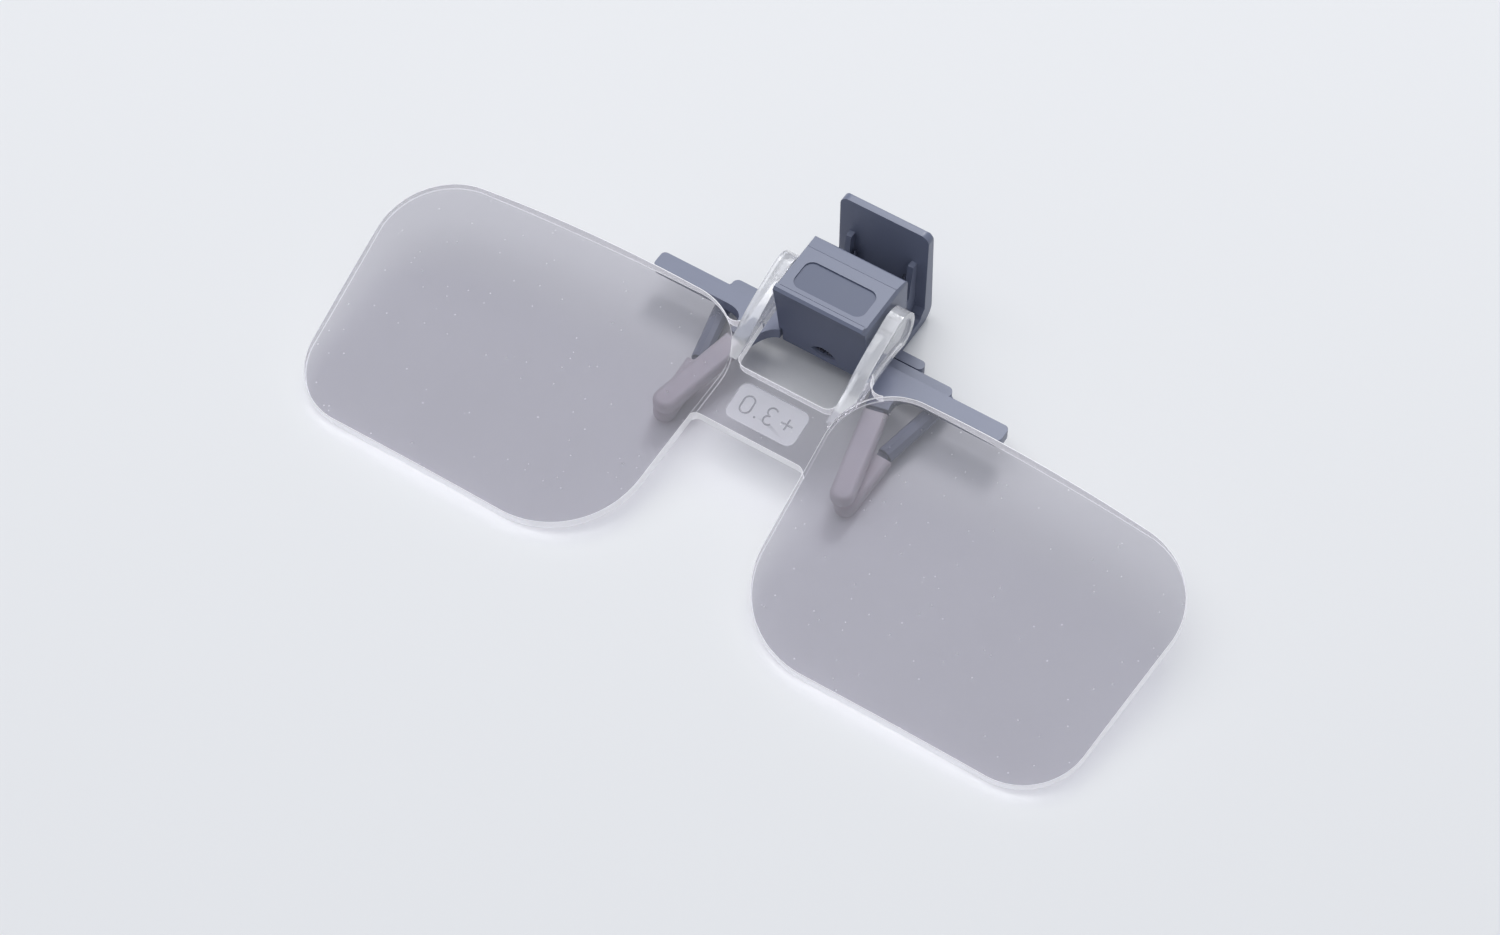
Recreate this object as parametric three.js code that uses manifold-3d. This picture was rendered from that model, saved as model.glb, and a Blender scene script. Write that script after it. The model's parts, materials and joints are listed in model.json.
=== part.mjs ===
// Clip-on flip magnifier.
//
// A clear moulded plate holds two lenses, a bridge and two hinge arms. The arms turn on a steel
// axle in a grey clip body. The body carries a front jaw with a long crossbar and two padded
// fingers. A sprung thumb lever behind it carries the rear jaw with two more padded fingers.
//
// Millimetres. X runs along the lens pair, Y from the lens bottoms to the thumb lever, and Z up
// from the surface that the part lies on, front side up. The origin is under the middle.

import * as THREE from 'three';
import { mergeVertices } from 'three/addons/utils/BufferGeometryUtils.js';
import Module from 'manifold-3d';

const wasm = await Module();
wasm.setup();

// Driving dimensions: fits
const running_gap = 0.3;
const bore_clearance = 0.25;
const overrun = 0.6;

// Driving dimensions: lens plate, measured in its own plane from the lower rim of the lenses
const lens_width = 51.3;
const lens_height = 39.1;
const nose_gap = 15.5;
const lens_centre_thickness = 3.5;
const lens_surface_radius = 327;
const nasal_top_radius = 9.0;
const nasal_low_radius = 13.3;
const outer_low_radius = 9.1;
const outer_top_radius = 10.5;
const top_arch_rise = 0.43;
const plate_thickness = 1.8;
const bridge_low_edge = 23.5;
const bridge_high_edge = 31.9;
const bridge_fillet = 1.3;
const window_fillet = 1.6;
const web_height = 38.2;
const web_reach = 3.6;
const pad_plate_width = 10.2;
const pad_plate_height = 5.3;
const pad_plate_rise = 0.25;
const pad_plate_radius = 1.2;

// Driving dimensions: hinge arms and the axle that they turn on
const arm_gap = 14.4;
const arm_thickness = 2.1;
const arm_tip_radius = 3.2;
const arm_recess_depth = 0.35;
const arm_recess_margin = 0.9;
const arm_reach = 7.15;
const pivot_offset = 0.75;
const axle_diameter = 2.2;
const axle_flat_width = 1.6;
const axle_engagement = 1.3;

// Driving dimensions: clip body
const body_width = 13.8;
const body_front_bevel = 0.35;
const body_wall = 1.3;
const body_back_height = 5.7;
const body_front_rise = 4.3;
const body_foot_height = 3.3;
const body_below_pivot = 5.5;
const body_above_pivot = 5.2;
const body_face_setback = 0.3;
const body_face_lean = 1.7;
const body_face_hollow = 0.2;
const body_taper = 0.75;
const body_corner_bevel = 0.5;
const pivot_height = 11.4;
const ridge_height = 0.5;
const ridge_width = 1.1;
const top_band_width = 2.3;
const top_band_drop = 0.3;
const plate_recess_width = 10.2;
const plate_recess_height = 4.1;
const plate_recess_depth = 0.35;
const plate_recess_radius = 1.2;
const plate_recess_margin = 1.1;

// Driving dimensions: jaw screw
const screw_head_diameter = 2.8;
const screw_head_height = 1.0;
const screw_shank_diameter = 1.4;
const screw_length = 4.4;
const screw_height = 4.9;
const screw_recess_depth = 0.35;
const screw_cross_width = 0.45;
const screw_cross_depth = 0.5;
const screw_cross_share = 0.64;

// Driving dimensions: detent leaf
const leaf_thickness = 0.35;
const leaf_width = 8.0;

// Driving dimensions: front jaw
const long_bar_length = 52.3;
const long_bar_height = 2.7;
const long_bar_thickness = 1.7;
const long_bar_top = 5.4;
const long_bar_low_edge_drop = 1.75;
const jaw_bar_gap = 0.8;
const jaw_boss_width = 4.6;
const jaw_boss_depth = 3.4;
const jaw_plate_thickness = 1.4;
const front_finger_root_spread = 19.3;
const front_finger_tip_spread = 27.3;
const front_finger_root_width = 3.0;
const inner_haunch = 2.2;
const outer_haunch = 3.4;
const front_core_width = 1.9;
const front_core_thickness = 1.0;
const core_corner_share = 0.45;
const front_tip_below_pivot = 21.7;
const front_tip_clearance = 0.24;
const front_root_height = 4.6;

// Driving dimensions: rubber sleeves
const sleeve_width = 3.3;
const sleeve_thickness = 2.1;
const sleeve_round = 0.75;
const front_sleeve_length = 14.3;
const rear_sleeve_length = 9.6;
const rear_sleeve_width = 3.0;
const sleeve_nose = 1.5;

// Driving dimensions: thumb lever with the rear jaw
const lever_width = 13.2;
const lever_height = 17.5;
const lever_top_thickness = 1.9;
const lever_foot_thickness = 2.7;
const lever_corner_radius = 1.3;
const lever_fold_radius = 2.2;
const lever_gap = 4.8;
const foot_thickness = 1.5;
const ear_thickness = 0.8;
const ear_spacing = 9.3;
const rib_rise = 11.6;
const rib_reach = 0.9;
const lever_pin_height = 3.9;
const lever_pin_setback = 2.6;
const lever_pin_diameter = 1.5;
const lever_boss_radius = 1.7;
const lug_thickness = 0.9;
const lug_spacing = 2.6;
const lug_rise = 9.0;
const mid_bar_length = 33.2;
const mid_bar_height = 1.8;
const mid_bar_top = 3.4;
const mid_bar_thickness = 1.8;
const short_bar_length = 22.4;
const short_bar_height = 1.5;
const short_bar_top = 2.6;
const short_bar_thickness = 1.5;
const bar_step = 0.7;
const jaw_web_width = 11.0;
const jaw_web_thickness = 1.5;
const rod_diameter = 2.3;
const rod_height = 2.25;
const rear_elbow_spread = 31.6;
const rear_ring_spread = 27.9;
const rear_tip_spread = 27.2;
const rear_tip_height = 1.17;
const rear_ring_height = 1.75;
const rear_core_width = 1.5;
const rear_core_thickness = 0.9;

// Driving dimensions: torsion spring, wound on the lever pin
const wire_diameter = 0.5;
const coil_diameter = 2.8;
const coil_pitch = 0.95;
const coil_turns = 1.5;
const coil_spread = 7.4;
const thumb_leg_rise = 5.0;
const body_leg_rise = 5.9;
const wire_bend_radius = 0.8;

// Counts of facets
const arc_steps = 8;
const round_steps = 20;
const lens_rings = 5;
const lens_sectors = 56;
const wire_sides = 5;
const wire_steps_per_turn = 8;

// Places worked out from the sizes
const half_gap = nose_gap / 2;
const lens_centre_x = half_gap + lens_width / 2;
const lens_centre_v = lens_height / 2;
const lower_rim_half = lens_centre_thickness / 2 - lensSag(lens_centre_v);
const arm_inner_x = arm_gap / 2;
const arm_outer_x = arm_inner_x + arm_thickness;
const body_half = body_width / 2;
const pivot_reach = web_height + arm_reach;

// The plate leans so that its lower rim and the clip rest on one surface.
const pivot_lift = lower_rim_half + pivot_offset;
const lens_tilt = Math.asin(pivot_height / Math.hypot(pivot_reach, pivot_lift)) - Math.atan2(pivot_lift, pivot_reach);
const pivot_y = pivot_reach * Math.cos(lens_tilt) + (lower_rim_half - pivot_offset) * Math.sin(lens_tilt);

const body_low_y = pivot_y - body_below_pivot;
const body_high_y = pivot_y + body_above_pivot;
const body_front_height = pivot_height + body_front_rise;
const lever_inner_y = body_high_y + lever_gap;
const lever_outer_y = lever_inner_y + lever_foot_thickness;
const lever_pin_y = body_high_y + lever_pin_setback;
const long_bar_low_y = body_low_y + long_bar_low_edge_drop;
const long_bar_high_y = long_bar_low_y + long_bar_height;
const mid_bar_low_y = long_bar_high_y + jaw_bar_gap;
const mid_bar_high_y = mid_bar_low_y + mid_bar_height;
const short_bar_low_y = mid_bar_high_y + bar_step;
const short_bar_high_y = short_bar_low_y + short_bar_height;

// The front fingers' tips lie just under the wearer's side of the lenses.
const front_tip_y = pivot_y - front_tip_below_pivot;
const tip_sag = lensSag(Math.hypot(lens_centre_x - front_finger_tip_spread / 2, lens_centre_v - front_tip_y));
const tip_ceiling = lower_rim_half + front_tip_y * Math.tan(lens_tilt) - lens_centre_thickness / 2 + tip_sag;
const front_tip_height = tip_ceiling - sleeve_thickness / 2 - front_tip_clearance;

// Finishes
const clear_plastic = { color: 0xdadde2, roughness: 0.08, metalness: 0.0, transparent: true, opacity: 0.5 };
const grey_plastic = { color: 0x5b6271, roughness: 0.45, metalness: 0.0 };
const clear_rubber = { color: 0xc9bfc2, roughness: 0.5, metalness: 0.0, transparent: true, opacity: 0.8 };
const bright_steel = { color: 0xb9bcc0, roughness: 0.3, metalness: 1.0 };

// Solids

function solidOf(geometry) {
  const plain = geometry.index ? geometry.toNonIndexed() : geometry.clone();
  plain.deleteAttribute('normal');
  plain.deleteAttribute('uv');
  const merged = mergeVertices(plain);
  return new wasm.Manifold(new wasm.Mesh({
    numProp: 3,
    vertProperties: new Float32Array(merged.attributes.position.array),
    triVerts: new Uint32Array(merged.index.array),
  }));
}

function geometryOf(solid) {
  const mesh = solid.getMesh();
  const geometry = new THREE.BufferGeometry();
  geometry.setAttribute('position', new THREE.BufferAttribute(new Float32Array(mesh.vertProperties), 3));
  geometry.setIndex(new THREE.BufferAttribute(new Uint32Array(mesh.triVerts), 1));
  geometry.computeVertexNormals();
  return geometry;
}

function joined(solids) {
  return solids.reduce((sum, solid) => sum.add(solid));
}

function cut(solid, tools) {
  return tools.reduce((rest, tool) => rest.subtract(tool), solid);
}

// Outline of a polygon whose corners are [x, y, radius], with an arc at each corner
function roundedOutline(corners, steps = arc_steps) {
  const outline = [];
  corners.forEach(([x, y, radius], index) => {
    const corner = new THREE.Vector2(x, y);
    if (radius === 0) {
      outline.push(corner);
      return;
    }
    const before = corners[(index + corners.length - 1) % corners.length];
    const after = corners[(index + 1) % corners.length];
    const back = new THREE.Vector2(before[0], before[1]).sub(corner).normalize();
    const ahead = new THREE.Vector2(after[0], after[1]).sub(corner).normalize();
    const half = Math.acos(back.dot(ahead)) / 2;
    const middle = back.clone().add(ahead).normalize();
    const centre = corner.clone().addScaledVector(middle, radius / Math.sin(half));
    const start = corner.clone().addScaledVector(back, radius / Math.tan(half)).sub(centre);
    const turn = (Math.PI - 2 * half) * Math.sign(back.x * ahead.y - back.y * ahead.x) * -1;
    for (let step = 0; step <= steps; step += 1) {
      const arm = start.clone().rotateAround(new THREE.Vector2(), turn * step / steps);
      outline.push(centre.clone().add(arm));
    }
  });
  return outline;
}

// Slab between two heights along Z
function slab(outline, low, high, holes = []) {
  const shape = new THREE.Shape(outline);
  shape.holes = holes.map((hole) => new THREE.Path(hole));
  const geometry = new THREE.ExtrudeGeometry(shape, { depth: high - low, bevelEnabled: false });
  return solidOf(geometry.translate(0, 0, low));
}

// Slab of a side outline, its points as (y, z), between two places along X
function sideSlab(outline, low, high) {
  const geometry = new THREE.ExtrudeGeometry(new THREE.Shape(outline), { depth: high - low, bevelEnabled: false });
  const turn = new THREE.Matrix4().makeBasis(
    new THREE.Vector3(0, 1, 0),
    new THREE.Vector3(0, 0, 1),
    new THREE.Vector3(1, 0, 0),
  );
  return solidOf(geometry.applyMatrix4(turn).translate(low, 0, 0));
}

// Slab of a face outline, its points as (x, z), between two places along Y
function faceSlab(outline, low, high) {
  const geometry = new THREE.ExtrudeGeometry(new THREE.Shape(outline), { depth: high - low, bevelEnabled: false });
  return solidOf(geometry.rotateX(Math.PI / 2).translate(0, high, 0));
}

function block(low, high) {
  const size = new THREE.Vector3().subVectors(high, low);
  const middle = new THREE.Vector3().addVectors(low, high).multiplyScalar(0.5);
  return solidOf(new THREE.BoxGeometry(size.x, size.y, size.z).translate(middle.x, middle.y, middle.z));
}

function span(x0, y0, z0, x1, y1, z1) {
  return block(new THREE.Vector3(x0, y0, z0), new THREE.Vector3(x1, y1, z1));
}

// Round bar along X at (y, z)
function barAlongX(radius, low, high, y, z) {
  const geometry = new THREE.CylinderGeometry(radius, radius, high - low, round_steps);
  return solidOf(geometry.rotateZ(Math.PI / 2).translate((low + high) / 2, y, z));
}

// Round bar along Y at (x, z)
function barAlongY(radius, low, high, x, z) {
  const geometry = new THREE.CylinderGeometry(radius, radius, high - low, round_steps);
  return solidOf(geometry.translate(x, (low + high) / 2, z));
}

function rectangle(x0, y0, x1, y1, radius = 0, steps = arc_steps) {
  return roundedOutline([[x0, y0, radius], [x1, y0, radius], [x1, y1, radius], [x0, y1, radius]], steps);
}

function mirrored(outline) {
  return outline.map((point) => new THREE.Vector2(-point.x, point.y)).reverse();
}

function quadratic(start, control, end, steps = arc_steps) {
  const curve = new THREE.QuadraticBezierCurve(
    new THREE.Vector2(...start),
    new THREE.Vector2(...control),
    new THREE.Vector2(...end),
  );
  return curve.getPoints(steps);
}

function part(name, geometry, finish) {
  const mesh = new THREE.Mesh(geometry, new THREE.MeshStandardMaterial(finish));
  mesh.name = name;
  return mesh;
}

// Lens plate, drawn in its own plane: X across, Y up from the lower rim, Z out of the front

// Corners of one lens as shares of its width from the nose gap and of its height
const lens_corner_shares = [
  [-0.012, 1.0],
  [0.042, 0.0],
  [0.948, 0.0],
  [1.022, 0.94],
];

function lensOutline() {
  const [nasal_top, nasal_low, outer_low, outer_top] = lens_corner_shares.map(
    ([across, up]) => [half_gap + lens_width * across, lens_height * up],
  );
  const corners = [
    [...nasal_top, nasal_top_radius],
    [...nasal_low, nasal_low_radius],
    [...outer_low, outer_low_radius],
    [...outer_top, outer_top_radius],
  ];
  const outline = roundedOutline(corners, 2 * arc_steps);
  // The top edge is a shallow arch between the last corner's end and the first one's start.
  const from = outline[outline.length - 1];
  const to = outline[0];
  const crown = from.clone().lerp(to, 0.5);
  crown.y += 2 * top_arch_rise;
  return outline.concat(quadratic(from.toArray(), crown.toArray(), to.toArray()).slice(1, -1));
}

// How far a face of the lens falls back at a distance from its axis
function lensSag(distance) {
  return lens_surface_radius - Math.sqrt(lens_surface_radius ** 2 - distance ** 2);
}

// Blank with two spherical faces, its axis along Z
function lensBlank(radius) {
  const profile = [];
  const half = lens_centre_thickness / 2;
  for (let ring = 0; ring <= lens_rings; ring += 1) {
    const r = radius * ring / lens_rings;
    profile.push(new THREE.Vector2(r, lensSag(r) - half));
  }
  for (let ring = lens_rings; ring >= 0; ring -= 1) {
    const r = radius * ring / lens_rings;
    profile.push(new THREE.Vector2(r, half - lensSag(r)));
  }
  const geometry = new THREE.LatheGeometry(profile, lens_sectors);
  return solidOf(geometry.rotateX(Math.PI / 2));
}

function lens() {
  const outline = lensOutline();
  const centre = new THREE.Vector2(lens_centre_x, lens_centre_v);
  const reach = Math.max(...outline.map((point) => point.distanceTo(centre))) + overrun;
  const prism = slab(outline, -lens_centre_thickness, lens_centre_thickness);
  return prism.intersect(lensBlank(reach).translate([lens_centre_x, lens_centre_v, 0]));
}

// Bridge and the webs that join it to the lenses and the arms
function bridge() {
  const lens_side = half_gap + web_reach;
  const web_top = web_height + arm_tip_radius / 2;
  const right = [
    new THREE.Vector2(0, bridge_low_edge),
    ...quadratic(
      [half_gap - bridge_fillet, bridge_low_edge],
      [half_gap + bridge_fillet / 4, bridge_low_edge],
      [half_gap + bridge_fillet / 4, bridge_low_edge - bridge_fillet],
    ),
    new THREE.Vector2(lens_side, bridge_low_edge - bridge_fillet),
    new THREE.Vector2(lens_side + web_reach, web_height - web_reach),
    ...quadratic([lens_side + web_reach / 2, web_height], [arm_outer_x, web_height - web_reach / 4],
      [arm_outer_x, web_top]),
    new THREE.Vector2(arm_inner_x, web_top),
    ...quadratic(
      [arm_inner_x, bridge_high_edge + window_fillet],
      [arm_inner_x, bridge_high_edge],
      [arm_inner_x - window_fillet, bridge_high_edge],
    ),
    new THREE.Vector2(0, bridge_high_edge),
  ];
  const left = mirrored(right).slice(1, -1);
  return slab(right.concat(left), -plate_thickness / 2, plate_thickness / 2);
}

// Raised frosted field on the wearer's side of the bridge
function bridgeField() {
  const middle = (bridge_low_edge + bridge_high_edge) / 2;
  const half_width = pad_plate_width / 2;
  const half_height = pad_plate_height / 2;
  const outline = rectangle(-half_width, middle - half_height, half_width, middle + half_height, pad_plate_radius);
  return slab(outline, -plate_thickness / 2 - pad_plate_rise, 0);
}

// Side outline of an arm as (y, z) in the plate's own frame, inset by a margin
function armOutline(inset) {
  const face = plate_thickness / 2 - inset;
  const radius = arm_tip_radius - inset;
  const root = bridge_high_edge + inset;
  const tip = [];
  const steps = 2 * arc_steps;
  for (let step = 0; step <= steps; step += 1) {
    const angle = -Math.PI / 2 + Math.PI * step / steps;
    tip.push(new THREE.Vector2(
      pivot_reach + radius * Math.cos(angle),
      pivot_offset + radius * Math.sin(angle),
    ));
  }
  const back = quadratic(
    [root + 2 * arm_tip_radius, -face],
    [pivot_reach - arm_tip_radius, -face],
    [pivot_reach, pivot_offset - radius],
  );
  const front = quadratic(
    [pivot_reach, pivot_offset + radius],
    [pivot_reach - 2 * arm_tip_radius, pivot_offset + radius],
    [root, face],
  );
  return [new THREE.Vector2(root, -face), ...back, ...tip.slice(1, -1), ...front];
}

// Round bar along X with two flats, for an axle's end or its socket
function axleEnd(radius, flat, low, high) {
  const rod = barAlongX(radius, low, high, 0, 0);
  const flats = span(low, -radius - overrun, -flat / 2, high, radius + overrun, flat / 2);
  return rod.intersect(flats);
}

function arm() {
  const body = sideSlab(armOutline(0), arm_inner_x, arm_outer_x);
  const recess = sideSlab(armOutline(arm_recess_margin), arm_outer_x - arm_recess_depth, arm_outer_x + overrun);
  return body.subtract(recess);
}

// Socket in an arm for the axle's end, in the plate's own frame
function armSocket() {
  const socket = axleEnd(
    axle_diameter / 2 + bore_clearance,
    axle_flat_width + 2 * bore_clearance,
    arm_inner_x - overrun,
    arm_inner_x + axle_engagement + bore_clearance,
  );
  return socket.translate([0, pivot_reach, pivot_offset]);
}

function lensPlate() {
  const right = [lens(), arm()];
  const left = right.map((solid) => solid.mirror([1, 0, 0]));
  const socket = armSocket();
  return cut(joined([bridge(), bridgeField(), ...right, ...left]), [socket, socket.mirror([1, 0, 0])]);
}

// Clip body, drawn in the frame of the whole part

// Place along Y of the front face at a height, from under the ridge to the foot
function bodyFaceY(height) {
  const share = (body_front_height - height) / (body_front_height - body_foot_height);
  return body_low_y + body_face_setback + body_face_lean * share + 4 * body_face_hollow * share * (1 - share);
}

function bodyFaceLine(setback, low, high) {
  const points = [];
  for (let step = 0; step <= arc_steps; step += 1) {
    const height = low + (high - low) * step / arc_steps;
    points.push(new THREE.Vector2(bodyFaceY(height) + setback, height));
  }
  return points;
}

function bodySide() {
  const ridge_top = body_front_height + ridge_height;
  const band_start = body_high_y - top_band_width;
  const bevel = body_front_bevel;
  return [
    ...bodyFaceLine(0, body_back_height, body_front_height - ridge_height),
    new THREE.Vector2(body_low_y, body_front_height),
    new THREE.Vector2(body_low_y, ridge_top - bevel),
    new THREE.Vector2(body_low_y + bevel, ridge_top),
    new THREE.Vector2(body_low_y + ridge_width - bevel / 2, ridge_top),
    new THREE.Vector2(body_low_y + ridge_width, body_front_height),
    new THREE.Vector2(band_start, body_front_height),
    new THREE.Vector2(body_high_y - bevel, body_front_height - top_band_drop),
    new THREE.Vector2(body_high_y, body_front_height - top_band_drop - bevel),
    new THREE.Vector2(body_high_y, body_back_height),
  ].reverse();
}

function bodyFace() {
  const bevel = body_front_bevel;
  const top = body_front_height + ridge_height;
  return [
    new THREE.Vector2(-body_half, body_back_height),
    new THREE.Vector2(body_half, body_back_height),
    new THREE.Vector2(body_half, body_front_height - 2 * bevel),
    new THREE.Vector2(body_half - bevel, body_front_height),
    new THREE.Vector2(body_half - bevel, top),
    new THREE.Vector2(bevel - body_half, top),
    new THREE.Vector2(bevel - body_half, body_front_height),
    new THREE.Vector2(-body_half, body_front_height - 2 * bevel),
  ];
}

// Foot of the front wall, which covers the front jaw's crossbar between the sides
function bodyFoot() {
  const low = bodyFaceLine(0, body_foot_height, body_back_height + body_wall);
  const high = bodyFaceLine(body_wall, body_foot_height, body_back_height + body_wall).reverse();
  return sideSlab(low.concat(high).reverse(), -foot_half, foot_half);
}

// Wedge that narrows one side of the front wall toward its foot
function bodyCorner(side) {
  const high = body_front_height + ridge_height + overrun;
  const low = body_foot_height - overrun;
  const near = body_low_y - overrun;
  const outer = body_half + overrun;
  const corners = [
    [body_half - body_corner_bevel, near, high],
    [outer, near, high],
    [outer, near + 2 * overrun + body_corner_bevel, high],
    [body_half - body_corner_bevel - body_taper - overrun, near, low],
    [outer, near, low],
    [outer, bodyFaceY(body_foot_height) + 2 * overrun + body_taper, low],
  ];
  return wasm.Manifold.hull(corners.map(([x, y, z]) => [side * x, y, z]));
}

// Direction from a boss's centre in which a line through a point outside touches the boss
function tangentAngle(centre, radius, point, side) {
  const arm = point.clone().sub(centre);
  return arm.angle() + side * Math.acos(radius / arm.length());
}

function arc(centre, radius, from, to) {
  const points = [];
  const steps = 2 * arc_steps;
  for (let step = 0; step <= steps; step += 1) {
    const angle = from + (to - from) * step / steps;
    points.push(new THREE.Vector2(Math.cos(angle), Math.sin(angle)).multiplyScalar(radius).add(centre));
  }
  return points;
}

const pin_centre = new THREE.Vector2(lever_pin_y, lever_pin_height);

// Side outline of a lug that reaches from the body's upper wall down to the pin
function lugOutline() {
  const root_y = body_high_y - body_wall / 2;
  const low = new THREE.Vector2(root_y, body_back_height + running_gap);
  const high = new THREE.Vector2(root_y, lug_rise);
  const from = tangentAngle(pin_centre, lever_boss_radius, low, 1) - 2 * Math.PI;
  const to = tangentAngle(pin_centre, lever_boss_radius, high, -1);
  return [...arc(pin_centre, lever_boss_radius, from, to), high, low];
}

const cavity_half = body_half - body_wall;
const cavity_top = body_front_height - body_wall - plate_recess_depth;
const foot_half = body_half - body_taper;
const screw_face_y = bodyFaceY(screw_height);

function clipBody() {
  const shell = sideSlab(bodySide(), -body_half, body_half)
    .intersect(faceSlab(bodyFace(), body_low_y - overrun, body_high_y + overrun));
  const cavity = sideSlab([
    ...bodyFaceLine(body_wall, body_foot_height - overrun, cavity_top),
    new THREE.Vector2(body_high_y - body_wall, cavity_top),
    new THREE.Vector2(body_high_y - body_wall, body_foot_height - overrun),
  ].reverse(), -cavity_half, cavity_half);
  const recess_low = body_low_y + ridge_width + plate_recess_margin;
  const recess = slab(
    rectangle(-plate_recess_width / 2, recess_low, plate_recess_width / 2, recess_low + plate_recess_height,
      plate_recess_radius),
    body_front_height - plate_recess_depth,
    body_front_height + overrun,
  );
  const axle_bore = barAlongX(axle_diameter / 2 + bore_clearance, -body_half - overrun, body_half + overrun,
    pivot_y, pivot_height);
  const head_bore = barAlongY(screw_head_diameter / 2 + bore_clearance, body_low_y - overrun,
    screw_face_y + screw_recess_depth, 0, screw_height);
  const shank_bore = barAlongY(screw_shank_diameter / 2 + bore_clearance, body_low_y,
    screw_face_y + 2 * body_wall, 0, screw_height);
  const lugs = [-1, 1].map((side) => {
    const centre = side * lug_spacing / 2;
    return sideSlab(lugOutline(), centre - lug_thickness / 2, centre + lug_thickness / 2);
  });
  const pin_bore = barAlongX(lever_pin_diameter / 2 + bore_clearance, -body_half, body_half,
    lever_pin_y, lever_pin_height);
  const corners = [bodyCorner(-1), bodyCorner(1)];
  return cut(
    joined([shell.subtract(cavity), bodyFoot(), ...lugs]),
    [...corners, recess, axle_bore, head_bore, shank_bore, pin_bore],
  );
}

// Axle of the lens hinge, round in the body and flattened where it drives the arms
function flipAxle() {
  const end = arm_inner_x + axle_engagement;
  const middle = barAlongX(axle_diameter / 2, -body_half, body_half, 0, 0);
  const ends = axleEnd(axle_diameter / 2, axle_flat_width, -end, end);
  return joined([middle, ends]);
}

// Bowed steel leaf that bears on the axle and holds the lenses at any angle
function detentLeaf() {
  const belly = pivot_height + axle_diameter / 2 + bore_clearance;
  const ends = cavity_top - running_gap - leaf_thickness;
  const low_y = bodyFaceY(belly) + body_wall + running_gap;
  const high_y = body_high_y - body_wall - running_gap;
  const middle_y = (low_y + high_y) / 2;
  const under = quadratic([low_y, ends], [middle_y, 2 * belly - ends], [high_y, ends], 2 * arc_steps);
  const over = under.map((point) => new THREE.Vector2(point.x, point.y + leaf_thickness)).reverse();
  return sideSlab(under.concat(over), -leaf_width / 2, leaf_width / 2);
}

function jawScrew() {
  const head_low = screw_face_y + screw_recess_depth - screw_head_height;
  const head = barAlongY(screw_head_diameter / 2, head_low, head_low + screw_head_height - bore_clearance,
    0, screw_height);
  const shank = barAlongY(screw_shank_diameter / 2, head_low, head_low + screw_length, 0, screw_height);
  const half = screw_cross_width / 2;
  const reach = screw_head_diameter * screw_cross_share / 2;
  const cross = [
    span(-half, head_low - overrun, screw_height - reach, half, head_low + screw_cross_depth, screw_height + reach),
    span(-reach, head_low - overrun, screw_height - half, reach, head_low + screw_cross_depth, screw_height + half),
  ];
  return cut(joined([head, shank]), cross);
}

// Front jaw

// Plan outline of the crossbar with the haunched roots of both fingers
function longBarOutline() {
  const half = long_bar_length / 2;
  const corner = long_bar_height / 4;
  const root = frontRoot(1);
  const foot = frontTip(1, front_sleeve_length + running_gap);
  const along = new THREE.Vector3().subVectors(root, foot).setZ(0).normalize();
  const inner_x = foot.x - along.y * front_finger_root_width / 2;
  const inner_y = foot.y + along.x * front_finger_root_width / 2;
  const outer_x = foot.x + along.y * front_finger_root_width / 2;
  const outer_y = foot.y - along.x * front_finger_root_width / 2;
  const inner_root = root.x - front_finger_root_width / 2;
  const outer_root = root.x + front_finger_root_width / 2;
  const right = [
    new THREE.Vector2(0, long_bar_low_y),
    ...quadratic([inner_root - inner_haunch, long_bar_low_y], [inner_root, long_bar_low_y], [inner_x, inner_y]),
    ...quadratic([outer_x, outer_y], [outer_root, long_bar_low_y], [outer_root + outer_haunch, long_bar_low_y]),
    ...roundedOutline([
      [outer_root + 2 * outer_haunch, long_bar_low_y, 0],
      [half, long_bar_low_y, corner],
      [half, long_bar_high_y, corner],
      [0, long_bar_high_y, 0],
    ], arc_steps / 2),
  ];
  const left = mirrored(right).slice(1, -1);
  return right.concat(left);
}

// Flat finger core, lying along +Y from its tip, before it is leaned and spread
function fingerCore(length, width, thickness) {
  return slab(rectangle(-width / 2, 0, width / 2, length, width * core_corner_share, arc_steps / 2),
    -thickness / 2, thickness / 2);
}

// Lay a solid that runs along +Y from a tip to a root, both as Vector3
function laid(solid, tip, root) {
  const run = new THREE.Vector3().subVectors(root, tip);
  const turn = THREE.MathUtils.radToDeg(Math.atan2(-run.x, run.y));
  const lean = THREE.MathUtils.radToDeg(Math.atan2(run.z, Math.hypot(run.x, run.y)));
  return solid.rotate([lean, 0, 0]).rotate([0, 0, turn]).translate(tip.toArray());
}

function frontTip(side, back = 0) {
  const root = frontRoot(side);
  const tip = new THREE.Vector3(side * front_finger_tip_spread / 2, front_tip_y, front_tip_height);
  const run = new THREE.Vector3().subVectors(root, tip).normalize();
  return tip.addScaledVector(run, back);
}

function frontRoot(side) {
  return new THREE.Vector3(side * front_finger_root_spread / 2, long_bar_low_y, front_root_height);
}

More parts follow.
